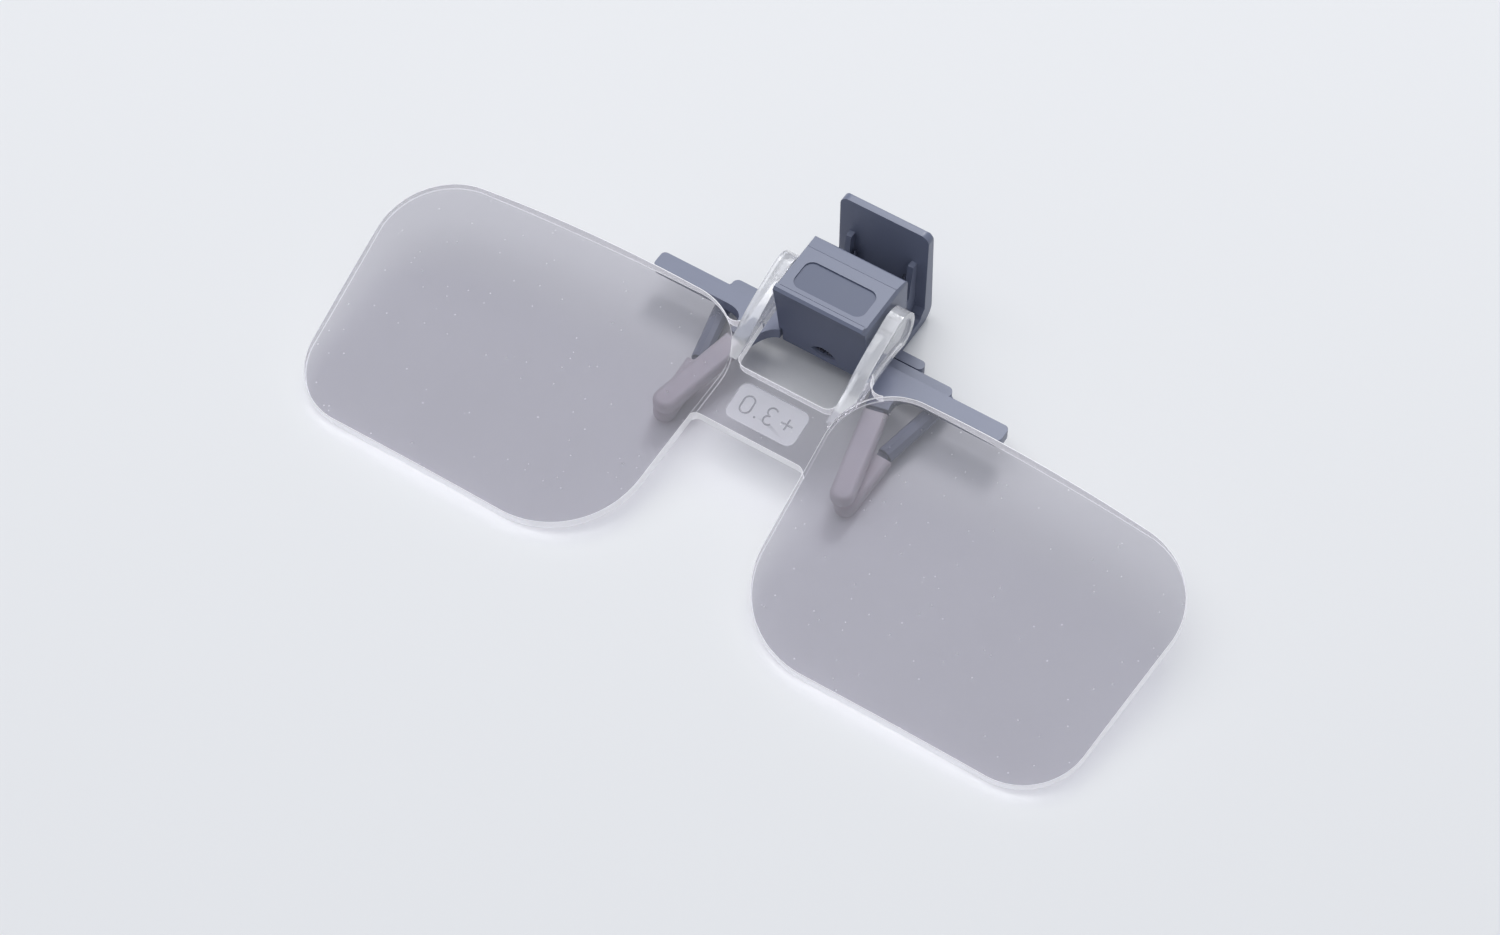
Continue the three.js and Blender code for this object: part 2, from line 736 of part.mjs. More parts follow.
function frontJaw() {
  const bar_low = long_bar_top - long_bar_thickness;
  const bar = slab(longBarOutline(), bar_low, long_bar_top);
  const plate_low_y = bodyFaceY(bar_low) + body_wall + running_gap;
  const notch = span(-foot_half - running_gap, long_bar_low_y - overrun, bar_low - overrun,
    foot_half + running_gap, plate_low_y, long_bar_top + overrun);
  const plate_high_y = body_high_y - body_wall - running_gap;
  const plate_half = cavity_half - running_gap;
  const plate = span(-plate_half, plate_low_y, long_bar_top - running_gap, plate_half, plate_high_y,
    long_bar_top + jaw_plate_thickness);
  const boss = span(-jaw_boss_width / 2, plate_low_y, bar_low, jaw_boss_width / 2,
    plate_low_y + jaw_boss_depth, long_bar_top + 2 * jaw_plate_thickness);
  const bore = barAlongY(screw_shank_diameter / 2 + bore_clearance, plate_low_y - overrun,
    plate_low_y + jaw_boss_depth + overrun, 0, screw_height);
  const fingers = [-1, 1].map((side) => {
    const tip = frontTip(side, sleeve_nose);
    const root = frontRoot(side);
    return laid(fingerCore(tip.distanceTo(root) + front_core_width / 2, front_core_width, front_core_thickness),
      tip, root);
  });
  return cut(joined([bar.subtract(notch), plate, boss, ...fingers]), [bore]);
}

// Soft sleeve with a round nose, running along +Y from its tip, bored for a finger core
function sleeve(length, width, core_width, core_thickness) {
  const half = width / 2 - sleeve_round;
  const outline = [];
  const steps = 2 * arc_steps;
  for (let step = 0; step <= steps; step += 1) {
    const angle = Math.PI + Math.PI * step / steps;
    outline.push(new THREE.Vector2(half * Math.cos(angle), half + half * Math.sin(angle)));
  }
  outline.push(new THREE.Vector2(half, length - 2 * sleeve_round));
  outline.push(new THREE.Vector2(-half, length - 2 * sleeve_round));
  const geometry = new THREE.ExtrudeGeometry(new THREE.Shape(outline), {
    depth: sleeve_thickness - 2 * sleeve_round,
    bevelEnabled: true,
    bevelThickness: sleeve_round,
    bevelSize: sleeve_round,
    bevelSegments: 3,
  });
  const body = solidOf(geometry.translate(0, sleeve_round, sleeve_round - sleeve_thickness / 2));
  const bore_width = core_width + 2 * bore_clearance;
  const bore = slab(
    rectangle(-bore_width / 2, sleeve_nose - bore_clearance, bore_width / 2, length + overrun,
      core_width * core_corner_share, arc_steps / 2),
    -core_thickness / 2 - bore_clearance / 2,
    core_thickness / 2 + bore_clearance / 2,
  );
  return body.subtract(bore);
}

function frontSleeve(side) {
  return laid(sleeve(front_sleeve_length, sleeve_width, front_core_width, front_core_thickness),
    frontTip(side), frontRoot(side));
}

// Thumb lever with the rear jaw

const rear_tip_y = front_tip_y + running_gap;

function rearTip(side, back = 0) {
  const tip = new THREE.Vector3(side * rear_tip_spread / 2, rear_tip_y, rear_tip_height);
  const run = new THREE.Vector3().subVectors(rearRing(side), tip).normalize();
  return tip.addScaledVector(run, back);
}

function rearRing(side) {
  const along = Math.sqrt(rear_sleeve_length ** 2 - ((rear_ring_spread - rear_tip_spread) / 2) ** 2);
  return new THREE.Vector3(side * rear_ring_spread / 2, rear_tip_y + along, rear_ring_height);
}

function rearRod(side) {
  const ring = rearRing(side);
  const elbow = new THREE.Vector3(side * rear_elbow_spread / 2, long_bar_low_y + rod_diameter / 4, rod_height);
  const bar = new THREE.Vector3(elbow.x + side * rod_diameter / 8, mid_bar_high_y - mid_bar_height / 2, rod_height);
  const start = elbow.clone().sub(ring).setLength(running_gap + rod_diameter / 8).add(ring);
  const path = new THREE.CatmullRomCurve3([start, ring.clone().lerp(elbow, 0.5), elbow, bar]);
  const section = new THREE.Shape();
  section.absarc(0, 0, rod_diameter / 2, 0, 2 * Math.PI, false);
  return solidOf(new THREE.ExtrudeGeometry(section, {
    steps: 2 * arc_steps,
    curveSegments: round_steps / 4,
    extrudePath: path,
  }));
}

function leverSide() {
  const top_outer = lever_inner_y + lever_top_thickness;
  const edge = lever_top_thickness / 6;
  return roundedOutline([
    [short_bar_high_y, 0, edge],
    [lever_outer_y, 0, lever_fold_radius],
    [top_outer, lever_height, edge],
    [lever_inner_y, lever_height, edge],
    [lever_inner_y, foot_thickness, foot_thickness / 2],
    [short_bar_high_y, foot_thickness, edge],
  ]);
}

function leverFace() {
  const half = lever_width / 2;
  return roundedOutline([
    [-half, -overrun, 0],
    [half, -overrun, 0],
    [half, lever_height, lever_corner_radius],
    [-half, lever_height, lever_corner_radius],
  ]);
}

// Ear between the thumb plate and the foot, with the boss for the pin and a rib up the plate
function earOutline() {
  const root_y = lever_inner_y + running_gap;
  const rib_top = new THREE.Vector2(lever_inner_y - rib_reach / 4, rib_rise);
  const rib_foot = new THREE.Vector2(lever_inner_y - rib_reach, lever_pin_height + lever_boss_radius);
  const foot = new THREE.Vector2(lever_pin_y - lever_boss_radius, foot_thickness / 2);
  const from = tangentAngle(pin_centre, lever_boss_radius, rib_foot, 1);
  const to = tangentAngle(pin_centre, lever_boss_radius, foot, -1);
  return [
    new THREE.Vector2(root_y, foot_thickness / 2),
    new THREE.Vector2(root_y, rib_rise),
    rib_top,
    rib_foot,
    ...arc(pin_centre, lever_boss_radius, from, to),
    foot,
  ];
}

function crossBar(length, low_y, height, low_z, high_z) {
  const half = length / 2;
  return slab(rectangle(-half, low_y, half, low_y + height, height / 2 - running_gap / 4), low_z, high_z);
}

function thumbLever() {
  const plate = sideSlab(leverSide(), -lever_width / 2, lever_width / 2)
    .intersect(faceSlab(leverFace(), short_bar_low_y, lever_outer_y + overrun));
  const ears = [-1, 1].map((side) => {
    const centre = side * ear_spacing / 2;
    return sideSlab(earOutline(), centre - ear_thickness / 2, centre + ear_thickness / 2);
  });
  const web_half = jaw_web_width / 2;
  const web_top = short_bar_top - jaw_web_thickness / 4;
  const bars = [
    crossBar(mid_bar_length, mid_bar_low_y, mid_bar_height, mid_bar_top - mid_bar_thickness, mid_bar_top),
    crossBar(short_bar_length, short_bar_low_y, short_bar_height, short_bar_top - short_bar_thickness,
      short_bar_top),
    span(-web_half, mid_bar_low_y + mid_bar_height / 4, web_top - jaw_web_thickness, web_half,
      short_bar_high_y + jaw_web_thickness / 2, web_top),
  ];
  const cores = [-1, 1].map((side) => {
    const tip = rearTip(side, sleeve_nose);
    const ring = rearRing(side);
    return laid(fingerCore(tip.distanceTo(ring) + rod_diameter / 2, rear_core_width, rear_core_thickness),
      tip, ring);
  });
  const pin_bore = barAlongX(lever_pin_diameter / 2 + bore_clearance, -lever_width / 2, lever_width / 2,
    lever_pin_y, lever_pin_height);
  const lever = joined([plate, ...ears, ...bars, rearRod(-1), rearRod(1), ...cores]);
  return lever.subtract(pin_bore);
}

function rearSleeve(side) {
  return laid(sleeve(rear_sleeve_length, rear_sleeve_width, rear_core_width, rear_core_thickness),
    rearTip(side), rearRing(side));
}

function leverPin() {
  const half = ear_spacing / 2 + ear_thickness / 2 + bore_clearance;
  return barAlongX(lever_pin_diameter / 2, -half, half, lever_pin_y, lever_pin_height);
}

// Double torsion spring, one unbroken wire: a leg up the thumb plate, a coil, a bridge across the
// body's back wall, the other coil and the other leg

// Right half of the wire, from the tip of its thumb leg to the middle of the bridge
function springHalf() {
  const radius = coil_diameter / 2;
  const outer_x = coil_spread / 2;
  const inner_x = outer_x - coil_pitch * coil_turns;
  const leg_y = lever_inner_y - wire_diameter / 2 - running_gap;
  const bridge_y = body_high_y + wire_diameter / 2 + running_gap;
  const bridge_z = lever_pin_height + body_leg_rise;
  const points = [new THREE.Vector3(outer_x, leg_y, lever_pin_height + thumb_leg_rise)];
  const steps = coil_turns * wire_steps_per_turn;
  for (let step = 0; step <= steps; step += 1) {
    const angle = -2 * Math.PI * step / wire_steps_per_turn;
    points.push(new THREE.Vector3(
      outer_x - coil_pitch * step / wire_steps_per_turn,
      lever_pin_y + radius * Math.cos(angle),
      lever_pin_height + radius * Math.sin(angle),
    ));
  }
  const bend = new THREE.QuadraticBezierCurve3(
    new THREE.Vector3(inner_x, bridge_y, bridge_z - wire_bend_radius),
    new THREE.Vector3(inner_x, bridge_y, bridge_z),
    new THREE.Vector3(inner_x - wire_bend_radius, bridge_y, bridge_z),
  );
  return points.concat(bend.getPoints(arc_steps / 2));
}

function springPath() {
  const right = springHalf();
  const left = right.map((point) => new THREE.Vector3(-point.x, point.y, point.z)).reverse();
  return right.concat(left);
}

// Tube of few sides along points, closed at both ends
function wireGeometry(points) {
  const positions = [];
  const index = [];
  const sides = wire_sides;
  const normal = new THREE.Vector3(1, 0, 0);
  points.forEach((point, place) => {
    const before = points[Math.max(place - 1, 0)];
    const after = points[Math.min(place + 1, points.length - 1)];
    const tangent = new THREE.Vector3().subVectors(after, before).normalize();
    normal.addScaledVector(tangent, -normal.dot(tangent)).normalize();
    const side = new THREE.Vector3().crossVectors(tangent, normal);
    for (let corner = 0; corner < sides; corner += 1) {
      const angle = 2 * Math.PI * corner / sides;
      const offset = normal.clone().multiplyScalar(Math.cos(angle)).addScaledVector(side, Math.sin(angle));
      positions.push(...point.clone().addScaledVector(offset, wire_diameter / 2).toArray());
    }
  });
  const rings = points.length;
  for (let ring = 0; ring < rings - 1; ring += 1) {
    for (let corner = 0; corner < sides; corner += 1) {
      const a = ring * sides + corner;
      const b = ring * sides + (corner + 1) % sides;
      index.push(a, b, a + sides, b, b + sides, a + sides);
    }
  }
  for (let corner = 1; corner < sides - 1; corner += 1) {
    index.push(0, corner + 1, corner);
    const last = (rings - 1) * sides;
    index.push(last, last + corner, last + corner + 1);
  }
  const geometry = new THREE.BufferGeometry();
  geometry.setAttribute('position', new THREE.Float32BufferAttribute(positions, 3));
  geometry.setIndex(index);
  geometry.computeVertexNormals();
  return geometry;
}

// Least gap between stretches of the wire that are half a turn or more apart along it
function leastGap(points) {
  let least = Infinity;
  const apart = wire_steps_per_turn / 2;
  points.forEach((point, place) => {
    for (let other = place + apart; other < points.length; other += 1) {
      least = Math.min(least, point.distanceTo(points[other]) - wire_diameter);
    }
  });
  return least;
}

// Assembly

const magnifier = new THREE.Group();

const lens_group = new THREE.Group();
lens_group.position.set(0, lower_rim_half * Math.sin(lens_tilt), lower_rim_half * Math.cos(lens_tilt));
lens_group.rotation.x = lens_tilt;
lens_group.add(part('lens_plate', geometryOf(lensPlate()), clear_plastic));
const axle = part('flip_axle', geometryOf(flipAxle()), bright_steel);
axle.position.set(0, pivot_reach, pivot_offset);
lens_group.add(axle);
magnifier.add(lens_group);

magnifier.add(part('clip_body', geometryOf(clipBody()), grey_plastic));
magnifier.add(part('detent_leaf', geometryOf(detentLeaf()), bright_steel));
magnifier.add(part('jaw_screw', geometryOf(jawScrew()), bright_steel));
magnifier.add(part('front_jaw', geometryOf(frontJaw()), grey_plastic));
magnifier.add(part('thumb_lever', geometryOf(thumbLever()), grey_plastic));
magnifier.add(part('lever_pin', geometryOf(leverPin()), bright_steel));

const spring_points = springPath();
magnifier.add(part('torsion_spring', wireGeometry(spring_points), bright_steel));
console.log(`torsion spring: least gap to itself ${leastGap(spring_points).toFixed(2)} mm`);

for (const [name, side] of [['left', -1], ['right', 1]]) {
  magnifier.add(part(`front_sleeve_${name}`, geometryOf(frontSleeve(side)), clear_rubber));
  magnifier.add(part(`rear_sleeve_${name}`, geometryOf(rearSleeve(side)), clear_rubber));
}

// The origin is under the middle of the part's depth.
const extent = new THREE.Box3().setFromObject(magnifier, true);
magnifier.position.y = -(extent.min.y + extent.max.y) / 2;

export default magnifier;
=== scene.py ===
"""Clip-on flip magnifier: the looks of every piece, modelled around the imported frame.

Metres. X runs along the lens pair, Y from the lens bottoms to the thumb lever, and Z up from the
surface that the part lies on. Each class holds the sizes of one sub-assembly and builds its pieces.
"""

import json
import logging
import math
from collections.abc import Iterable, Iterator, Sequence
from contextlib import contextmanager
from dataclasses import dataclass
from enum import Enum
from typing import Any

import bpy
from bpy.types import Material, Node, NodeSocket, Object
from mathutils import Matrix, Vector
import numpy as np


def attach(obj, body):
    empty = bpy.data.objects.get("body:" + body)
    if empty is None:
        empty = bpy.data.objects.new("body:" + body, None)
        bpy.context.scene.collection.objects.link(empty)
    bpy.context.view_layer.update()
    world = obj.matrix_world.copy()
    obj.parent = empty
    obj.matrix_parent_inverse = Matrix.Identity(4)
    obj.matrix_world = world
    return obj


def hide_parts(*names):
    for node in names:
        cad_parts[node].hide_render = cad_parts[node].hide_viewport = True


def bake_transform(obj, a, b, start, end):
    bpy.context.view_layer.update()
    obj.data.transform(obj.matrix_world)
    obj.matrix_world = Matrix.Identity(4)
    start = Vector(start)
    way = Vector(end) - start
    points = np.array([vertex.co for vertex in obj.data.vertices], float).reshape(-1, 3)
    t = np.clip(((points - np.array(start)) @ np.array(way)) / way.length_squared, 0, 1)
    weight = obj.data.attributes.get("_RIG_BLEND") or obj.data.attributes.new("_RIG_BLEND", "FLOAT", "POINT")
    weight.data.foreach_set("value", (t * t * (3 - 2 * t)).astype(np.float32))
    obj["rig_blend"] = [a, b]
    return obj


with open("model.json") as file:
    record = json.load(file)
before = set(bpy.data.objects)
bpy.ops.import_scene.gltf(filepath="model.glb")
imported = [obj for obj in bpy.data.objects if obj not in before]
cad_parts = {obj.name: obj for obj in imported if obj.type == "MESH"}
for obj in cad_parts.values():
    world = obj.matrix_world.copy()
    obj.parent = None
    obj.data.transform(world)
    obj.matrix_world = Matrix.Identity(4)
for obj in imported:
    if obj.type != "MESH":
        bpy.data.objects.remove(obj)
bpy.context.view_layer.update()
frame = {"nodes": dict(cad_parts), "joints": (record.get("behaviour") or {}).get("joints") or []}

MM = 0.001
RUNNING_GAP = 0.3 * MM
OVERRUN = 0.6 * MM
MOULD_EASE = 0.16 * MM
MOULD_SHARP_DEG = 34
MERGE_DISTANCE = 0.004 * MM
FLAT_DEG = 0.5
BAR_SIDES = 48

log = logging.getLogger("magnifier")
Point = Sequence[float]
Pair = tuple[float, float]
Outline = list[Pair]
Triple = tuple[float, float, float]


class Plane(Enum):
    """The plane of an outline: where its u, its v and its raise point in the part."""

    FACE = ((1, 0, 0), (0, 1, 0), (0, 0, 1))
    SIDE = ((0, 1, 0), (0, 0, 1), (1, 0, 0))
    BACK = ((1, 0, 0), (0, 0, 1), (0, 1, 0))

    def turn(self) -> Matrix:
        """Matrix that takes (u, v, raise) to the part's X, Y and Z."""
        return Matrix(self.value).transposed().to_4x4()


class Cut(Enum):
    """How one solid works on another."""

    JOIN = "UNION"
    TAKE_AWAY = "DIFFERENCE"
    KEEP_COMMON = "INTERSECT"


class PlateZone(Enum):
    """Finishes of the clear plate, in the order of its material slots."""

    # LENS: tinted grey, as painted shade.
    LENS = 0
    # HAZY_PAINTED_SHEEN: the arms, rough and painted milky white as painted sheen.
    HAZY_PAINTED_SHEEN = 1
    FROSTED = 2
    # EDGE: the walls and rims, pale and glowing, as painted highlight.
    EDGE = 3
    MARK = 4


# Outlines


def rounded(corners: Sequence[Triple], steps: int = 8) -> Outline:
    """Outline of a polygon with an arc at each corner.

    Args:
        corners: Each corner as (u, v, radius), in order.
        steps: Steps of each arc.

    Returns:
        The outline's points.
    """
    points: Outline = []
    for index, (u, v, radius) in enumerate(corners):
        corner = Vector((u, v))
        back = (Vector(corners[index - 1][:2]) - corner).normalized()
        ahead = (Vector(corners[(index + 1) % len(corners)][:2]) - corner).normalized()
        half = back.angle(ahead) / 2
        centre = corner + (back + ahead).normalized() * (radius / math.sin(half))
        start = corner + back * (radius / math.tan(half)) - centre
        side = math.copysign(1.0, back.x * ahead.y - back.y * ahead.x)
        for step in range(steps + 1):
            turn = -side * (math.pi - 2 * half) * step / steps
            points.append(tuple(centre + Matrix.Rotation(turn, 2) @ start))
    return points


def curve(start: Point, control: Point, end: Point, steps: int = 8) -> Outline:
    """Points of a quadratic curve from start to end, pulled towards control."""
    a, b, c, shares = Vector(start), Vector(control), Vector(end), [step / steps for step in range(steps + 1)]
    return [tuple(a * (1 - t) ** 2 + b * (2 * t * (1 - t)) + c * t**2) for t in shares]


def mirrored(points: Outline) -> Outline:
    """The outline's mirror image across u = 0, in the same turning sense."""
    return [(-u, v) for u, v in reversed(points)]


def rectangle(low: Point, high: Point, radius: float) -> Outline:
    """Outline of a rectangle between two corners, its own corners rounded."""
    (u0, v0), (u1, v1) = low, high
    return rounded([(u0, v0, radius), (u1, v0, radius), (u1, v1, radius), (u0, v1, radius)])


def joint_place(name: str) -> Point:
    """Place of a joint of the frame."""
    return next(joint["pos_m"] for joint in frame["joints"] if joint["name"] == name)


# Modelling by hand, in Blender's own operators


def take(piece: Object) -> None:
    """Select one piece alone and make it the active one.

    Args:
        piece: The piece.
    """
    bpy.ops.object.select_all(action="DESELECT")
    piece.select_set(True)
    bpy.context.view_layer.objects.active = piece


@contextmanager
def editing(piece: Object, mode: str = "FACE") -> Iterator[None]:
    """Edit mode on a piece, with all of it selected at first.

    Args:
        piece: The piece.
        mode: VERT, EDGE or FACE, what is selected.

    Returns:
        A context that leaves edit mode at its end.
    """
    take(piece)
    bpy.ops.object.mode_set(mode="EDIT")
    bpy.ops.mesh.select_mode(type=mode)
    bpy.ops.mesh.select_all(action="SELECT")
    yield
    bpy.ops.object.mode_set(mode="OBJECT")


def outwards(piece: Object) -> Object:
    """Turn every face of a piece outwards.

    Args:
        piece: The piece.

    Returns:
        The piece.
    """
    with editing(piece):
        bpy.ops.mesh.normals_make_consistent(inside=False)
    return piece


def added(name: str) -> Object:
    """The piece that was just added, under a name."""
    bpy.context.object.name = name
    return bpy.context.object


def settled(name: str) -> Object:
    """The piece that was just added, under a name and with its place written into its mesh."""
    bpy.ops.object.transform_apply(location=True, rotation=True, scale=True)
    return added(name)


def flat(name: str, outline: Outline, height: float) -> Object:
    """Face with an outline.

    Args:
        name: The piece's name.
        outline: Points of the outline, as (x, y).
        height: Height at which it lies.

    Returns:
        The new piece.
    """
    bpy.ops.mesh.primitive_circle_add(vertices=len(outline), radius=1, fill_type="NGON")
    piece = added(name)
    for vertex, (u, v) in zip(piece.data.vertices, outline):
        vertex.co = (u, v, height)
    return piece


def raised(name: str, outline: Outline, low: float, high: float, plane: Plane = Plane.FACE) -> Object:
    """Solid of an outline raised between two heights.

    Args:
        name: The piece's name.
        outline: Points of the outline.
        low: Where it starts.
        high: Where it ends.
        plane: The outline's plane.

    Returns:
        The new piece.
    """
    piece = flat(name, outline, low)
    with editing(piece):
        bpy.ops.mesh.extrude_region_move(TRANSFORM_OT_translate={"value": (0, 0, high - low)})
    outwards(piece).data.transform(plane.turn())
    return outwards(piece)


def bar(name: str, radius: float, low: float, high: float, plane: Plane, at: Point) -> Object:
    """Round bar.

    Args:
        name: The piece's name.
        radius: Its radius.
        low: Where it starts.
        high: Where it ends.
        plane: SIDE for a bar along X, BACK for one along Y.
        at: Its two other coordinates, in order.

    Returns:
        The new piece.
    """
    middle, along_x = (low + high) / 2, plane is Plane.SIDE
    spot = (middle, *at) if along_x else (at[0], middle, at[1])
    turn = (0, math.pi / 2, 0) if along_x else (math.pi / 2, 0, 0)
    bpy.ops.mesh.primitive_cylinder_add(vertices=BAR_SIDES, radius=radius, depth=high - low, location=spot,
                                        rotation=turn)
    return settled(name)


def block(name: str, low: Point, high: Point) -> Object:
    """Plain block between two corners.

    Args:
        name: The piece's name.
        low: Its lowest corner.
        high: Its highest corner.

    Returns:
        The new piece.
    """
    first, last = Vector(low), Vector(high)
    bpy.ops.mesh.primitive_cube_add(size=1, location=(first + last) / 2, scale=last - first)
    return settled(name)


def wire(name: str, points: Sequence[Point], radius: float, closed: bool = False,
         roundness: int = 3) -> Object:
    """Round wire along points.

    Args:
        name: The piece's name.
        points: Its middle line.
        radius: Half its thickness.
        closed: Whether its end meets its start.
        roundness: Steps of its section's quarter.

    Returns:
        The wire as a closed mesh.
    """
    path = bpy.data.curves.new(name, "CURVE")
    path.dimensions = "3D"
    path.bevel_depth = radius
    path.bevel_resolution = roundness
    path.use_fill_caps = True
    spline = path.splines.new("POLY")
    spline.use_cyclic_u = closed
    spline.points.add(len(points) - 1)
    for knot, point in zip(spline.points, points):
        knot.co = (*point, 1)
    line = bpy.data.objects.new(name, path)
    bpy.context.scene.collection.objects.link(line)
    take(line)
    bpy.ops.object.convert(target="MESH")
    return outwards(bpy.context.object)


def modified(piece: Object, kind: str, **settings: Any) -> Object:
    """Give a piece a modifier and apply it.

    Args:
        piece: The piece.
        kind: Blender's name of the modifier's type.
        settings: The modifier's properties.

    Returns:
        The piece.
    """
    modifier = piece.modifiers.new(kind, kind)
    for name, value in settings.items():
        setattr(modifier, name, value)
    take(piece)
    bpy.ops.object.modifier_apply(modifier=modifier.name)
    return piece


def combine(piece: Object, tools: Iterable[Object], cut: Cut) -> Object:
    """Work on a piece with tools, which are used up.

    Args:
        piece: The piece that stays.
        tools: The solids that work on it.
        cut: What each tool does.

    Returns:
        The piece.
    """
    for tool in tools:
        modified(piece, "BOOLEAN", operation=cut.value, object=tool, solver="EXACT")
        bpy.data.objects.remove(tool)
    return piece


def cleaned(piece: Object) -> Object:
    """Merge doubles and dissolve the cuts' spare edges on flat faces.

    Args:
        piece: The piece.

    Returns:
        The piece.
    """
    with editing(piece, "VERT"):
        bpy.ops.mesh.remove_doubles(threshold=MERGE_DISTANCE)
        bpy.ops.mesh.dissolve_limited(angle_limit=math.radians(FLAT_DEG))
        bpy.ops.mesh.dissolve_degenerate(threshold=MERGE_DISTANCE)
    return piece


def eased(piece: Object, width: float = MOULD_EASE, segments: int = 3,
          sharp_deg: float = MOULD_SHARP_DEG) -> Object:
    """Round a piece's edges that are sharper than an angle, as a mould leaves them."""
    return modified(piece, "BEVEL", width=width, segments=segments, limit_method="ANGLE",
                    angle_limit=math.radians(sharp_deg), use_clamp_overlap=True, miter_outer="MITER_ARC")


def smooth(piece: Object, angle_deg: float = 30.0) -> Object:
    """Shade a piece smooth except across edges sharper than an angle, its large faces kept flat.

    Args:
        piece: The piece.
        angle_deg: The angle.

    Returns:
        The piece.
    """
    take(piece)
    bpy.ops.object.shade_smooth_by_angle(angle=math.radians(angle_deg))
    return modified(piece, "WEIGHTED_NORMAL", keep_sharp=True)


def copy_of(node: str, name: str) -> Object:
    """Copy of a frame node's solid, its loose triangles merged to faces.

    Args:
        node: The frame's node.
        name: The piece's name.

    Returns:
        The new piece.
    """
    piece = bpy.data.objects.new(name, frame["nodes"][node].data.copy())
    bpy.context.scene.collection.objects.link(piece)
    piece.data.materials.clear()
    for attribute in [a for a in piece.data.attributes if a.name == "custom_normal"]:
        piece.data.attributes.remove(attribute)
    return cleaned(piece)


def place(piece: Object, body: str, finish: Material | None, stands_for: Sequence[str],
          bend: tuple[str, Vector, Vector] | None = None) -> None:
    """Dress a finished piece and tell the frame where it belongs.

    Args:
        piece: The piece.
        body: The body that it rides on.
        finish: Its material, or None where its slots are set already.
        stands_for: Frame nodes that it replaces.
        bend: Second body of a piece that bends, and where it begins and ends to follow it.
    """
    if finish:
        piece.data.materials.clear()
        piece.data.materials.append(finish)
    if bend:
        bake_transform(piece, body, *bend)
    else:
        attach(piece, body)
    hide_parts(*stands_for)
    log.info("%s: %d faces on %s", piece.name, len(piece.data.polygons), body)


# Materials


class Value:
    """A number on a surface, held by a socket, that Python's operators work on."""

    def __init__(self, recipe: "Recipe", socket: NodeSocket) -> None:
        """Hold a socket of a recipe's tree."""
        self.recipe = recipe
        self.socket = socket

    def _with(self, operation: str, first: Any, second: Any) -> "Value":
        """One Math node on two values."""
        node = self.recipe.node("ShaderNodeMath", {"operation": operation}, {0: first, 1: second})
        return Value(self.recipe, node.outputs[0])

    def __add__(self, other: Any) -> "Value":
        """Sum."""
        return self._with("ADD", self, other)

    def __rsub__(self, other: Any) -> "Value":
        """What is left of another value."""
        return self._with("SUBTRACT", other, self)

    def __mul__(self, other: Any) -> "Value":
        """Product."""
        return self._with("MULTIPLY", self, other)

    def above(self, limit: float) -> "Value":
        """One where the value is over a limit, and zero elsewhere."""
        return self._with("GREATER_THAN", self, limit)


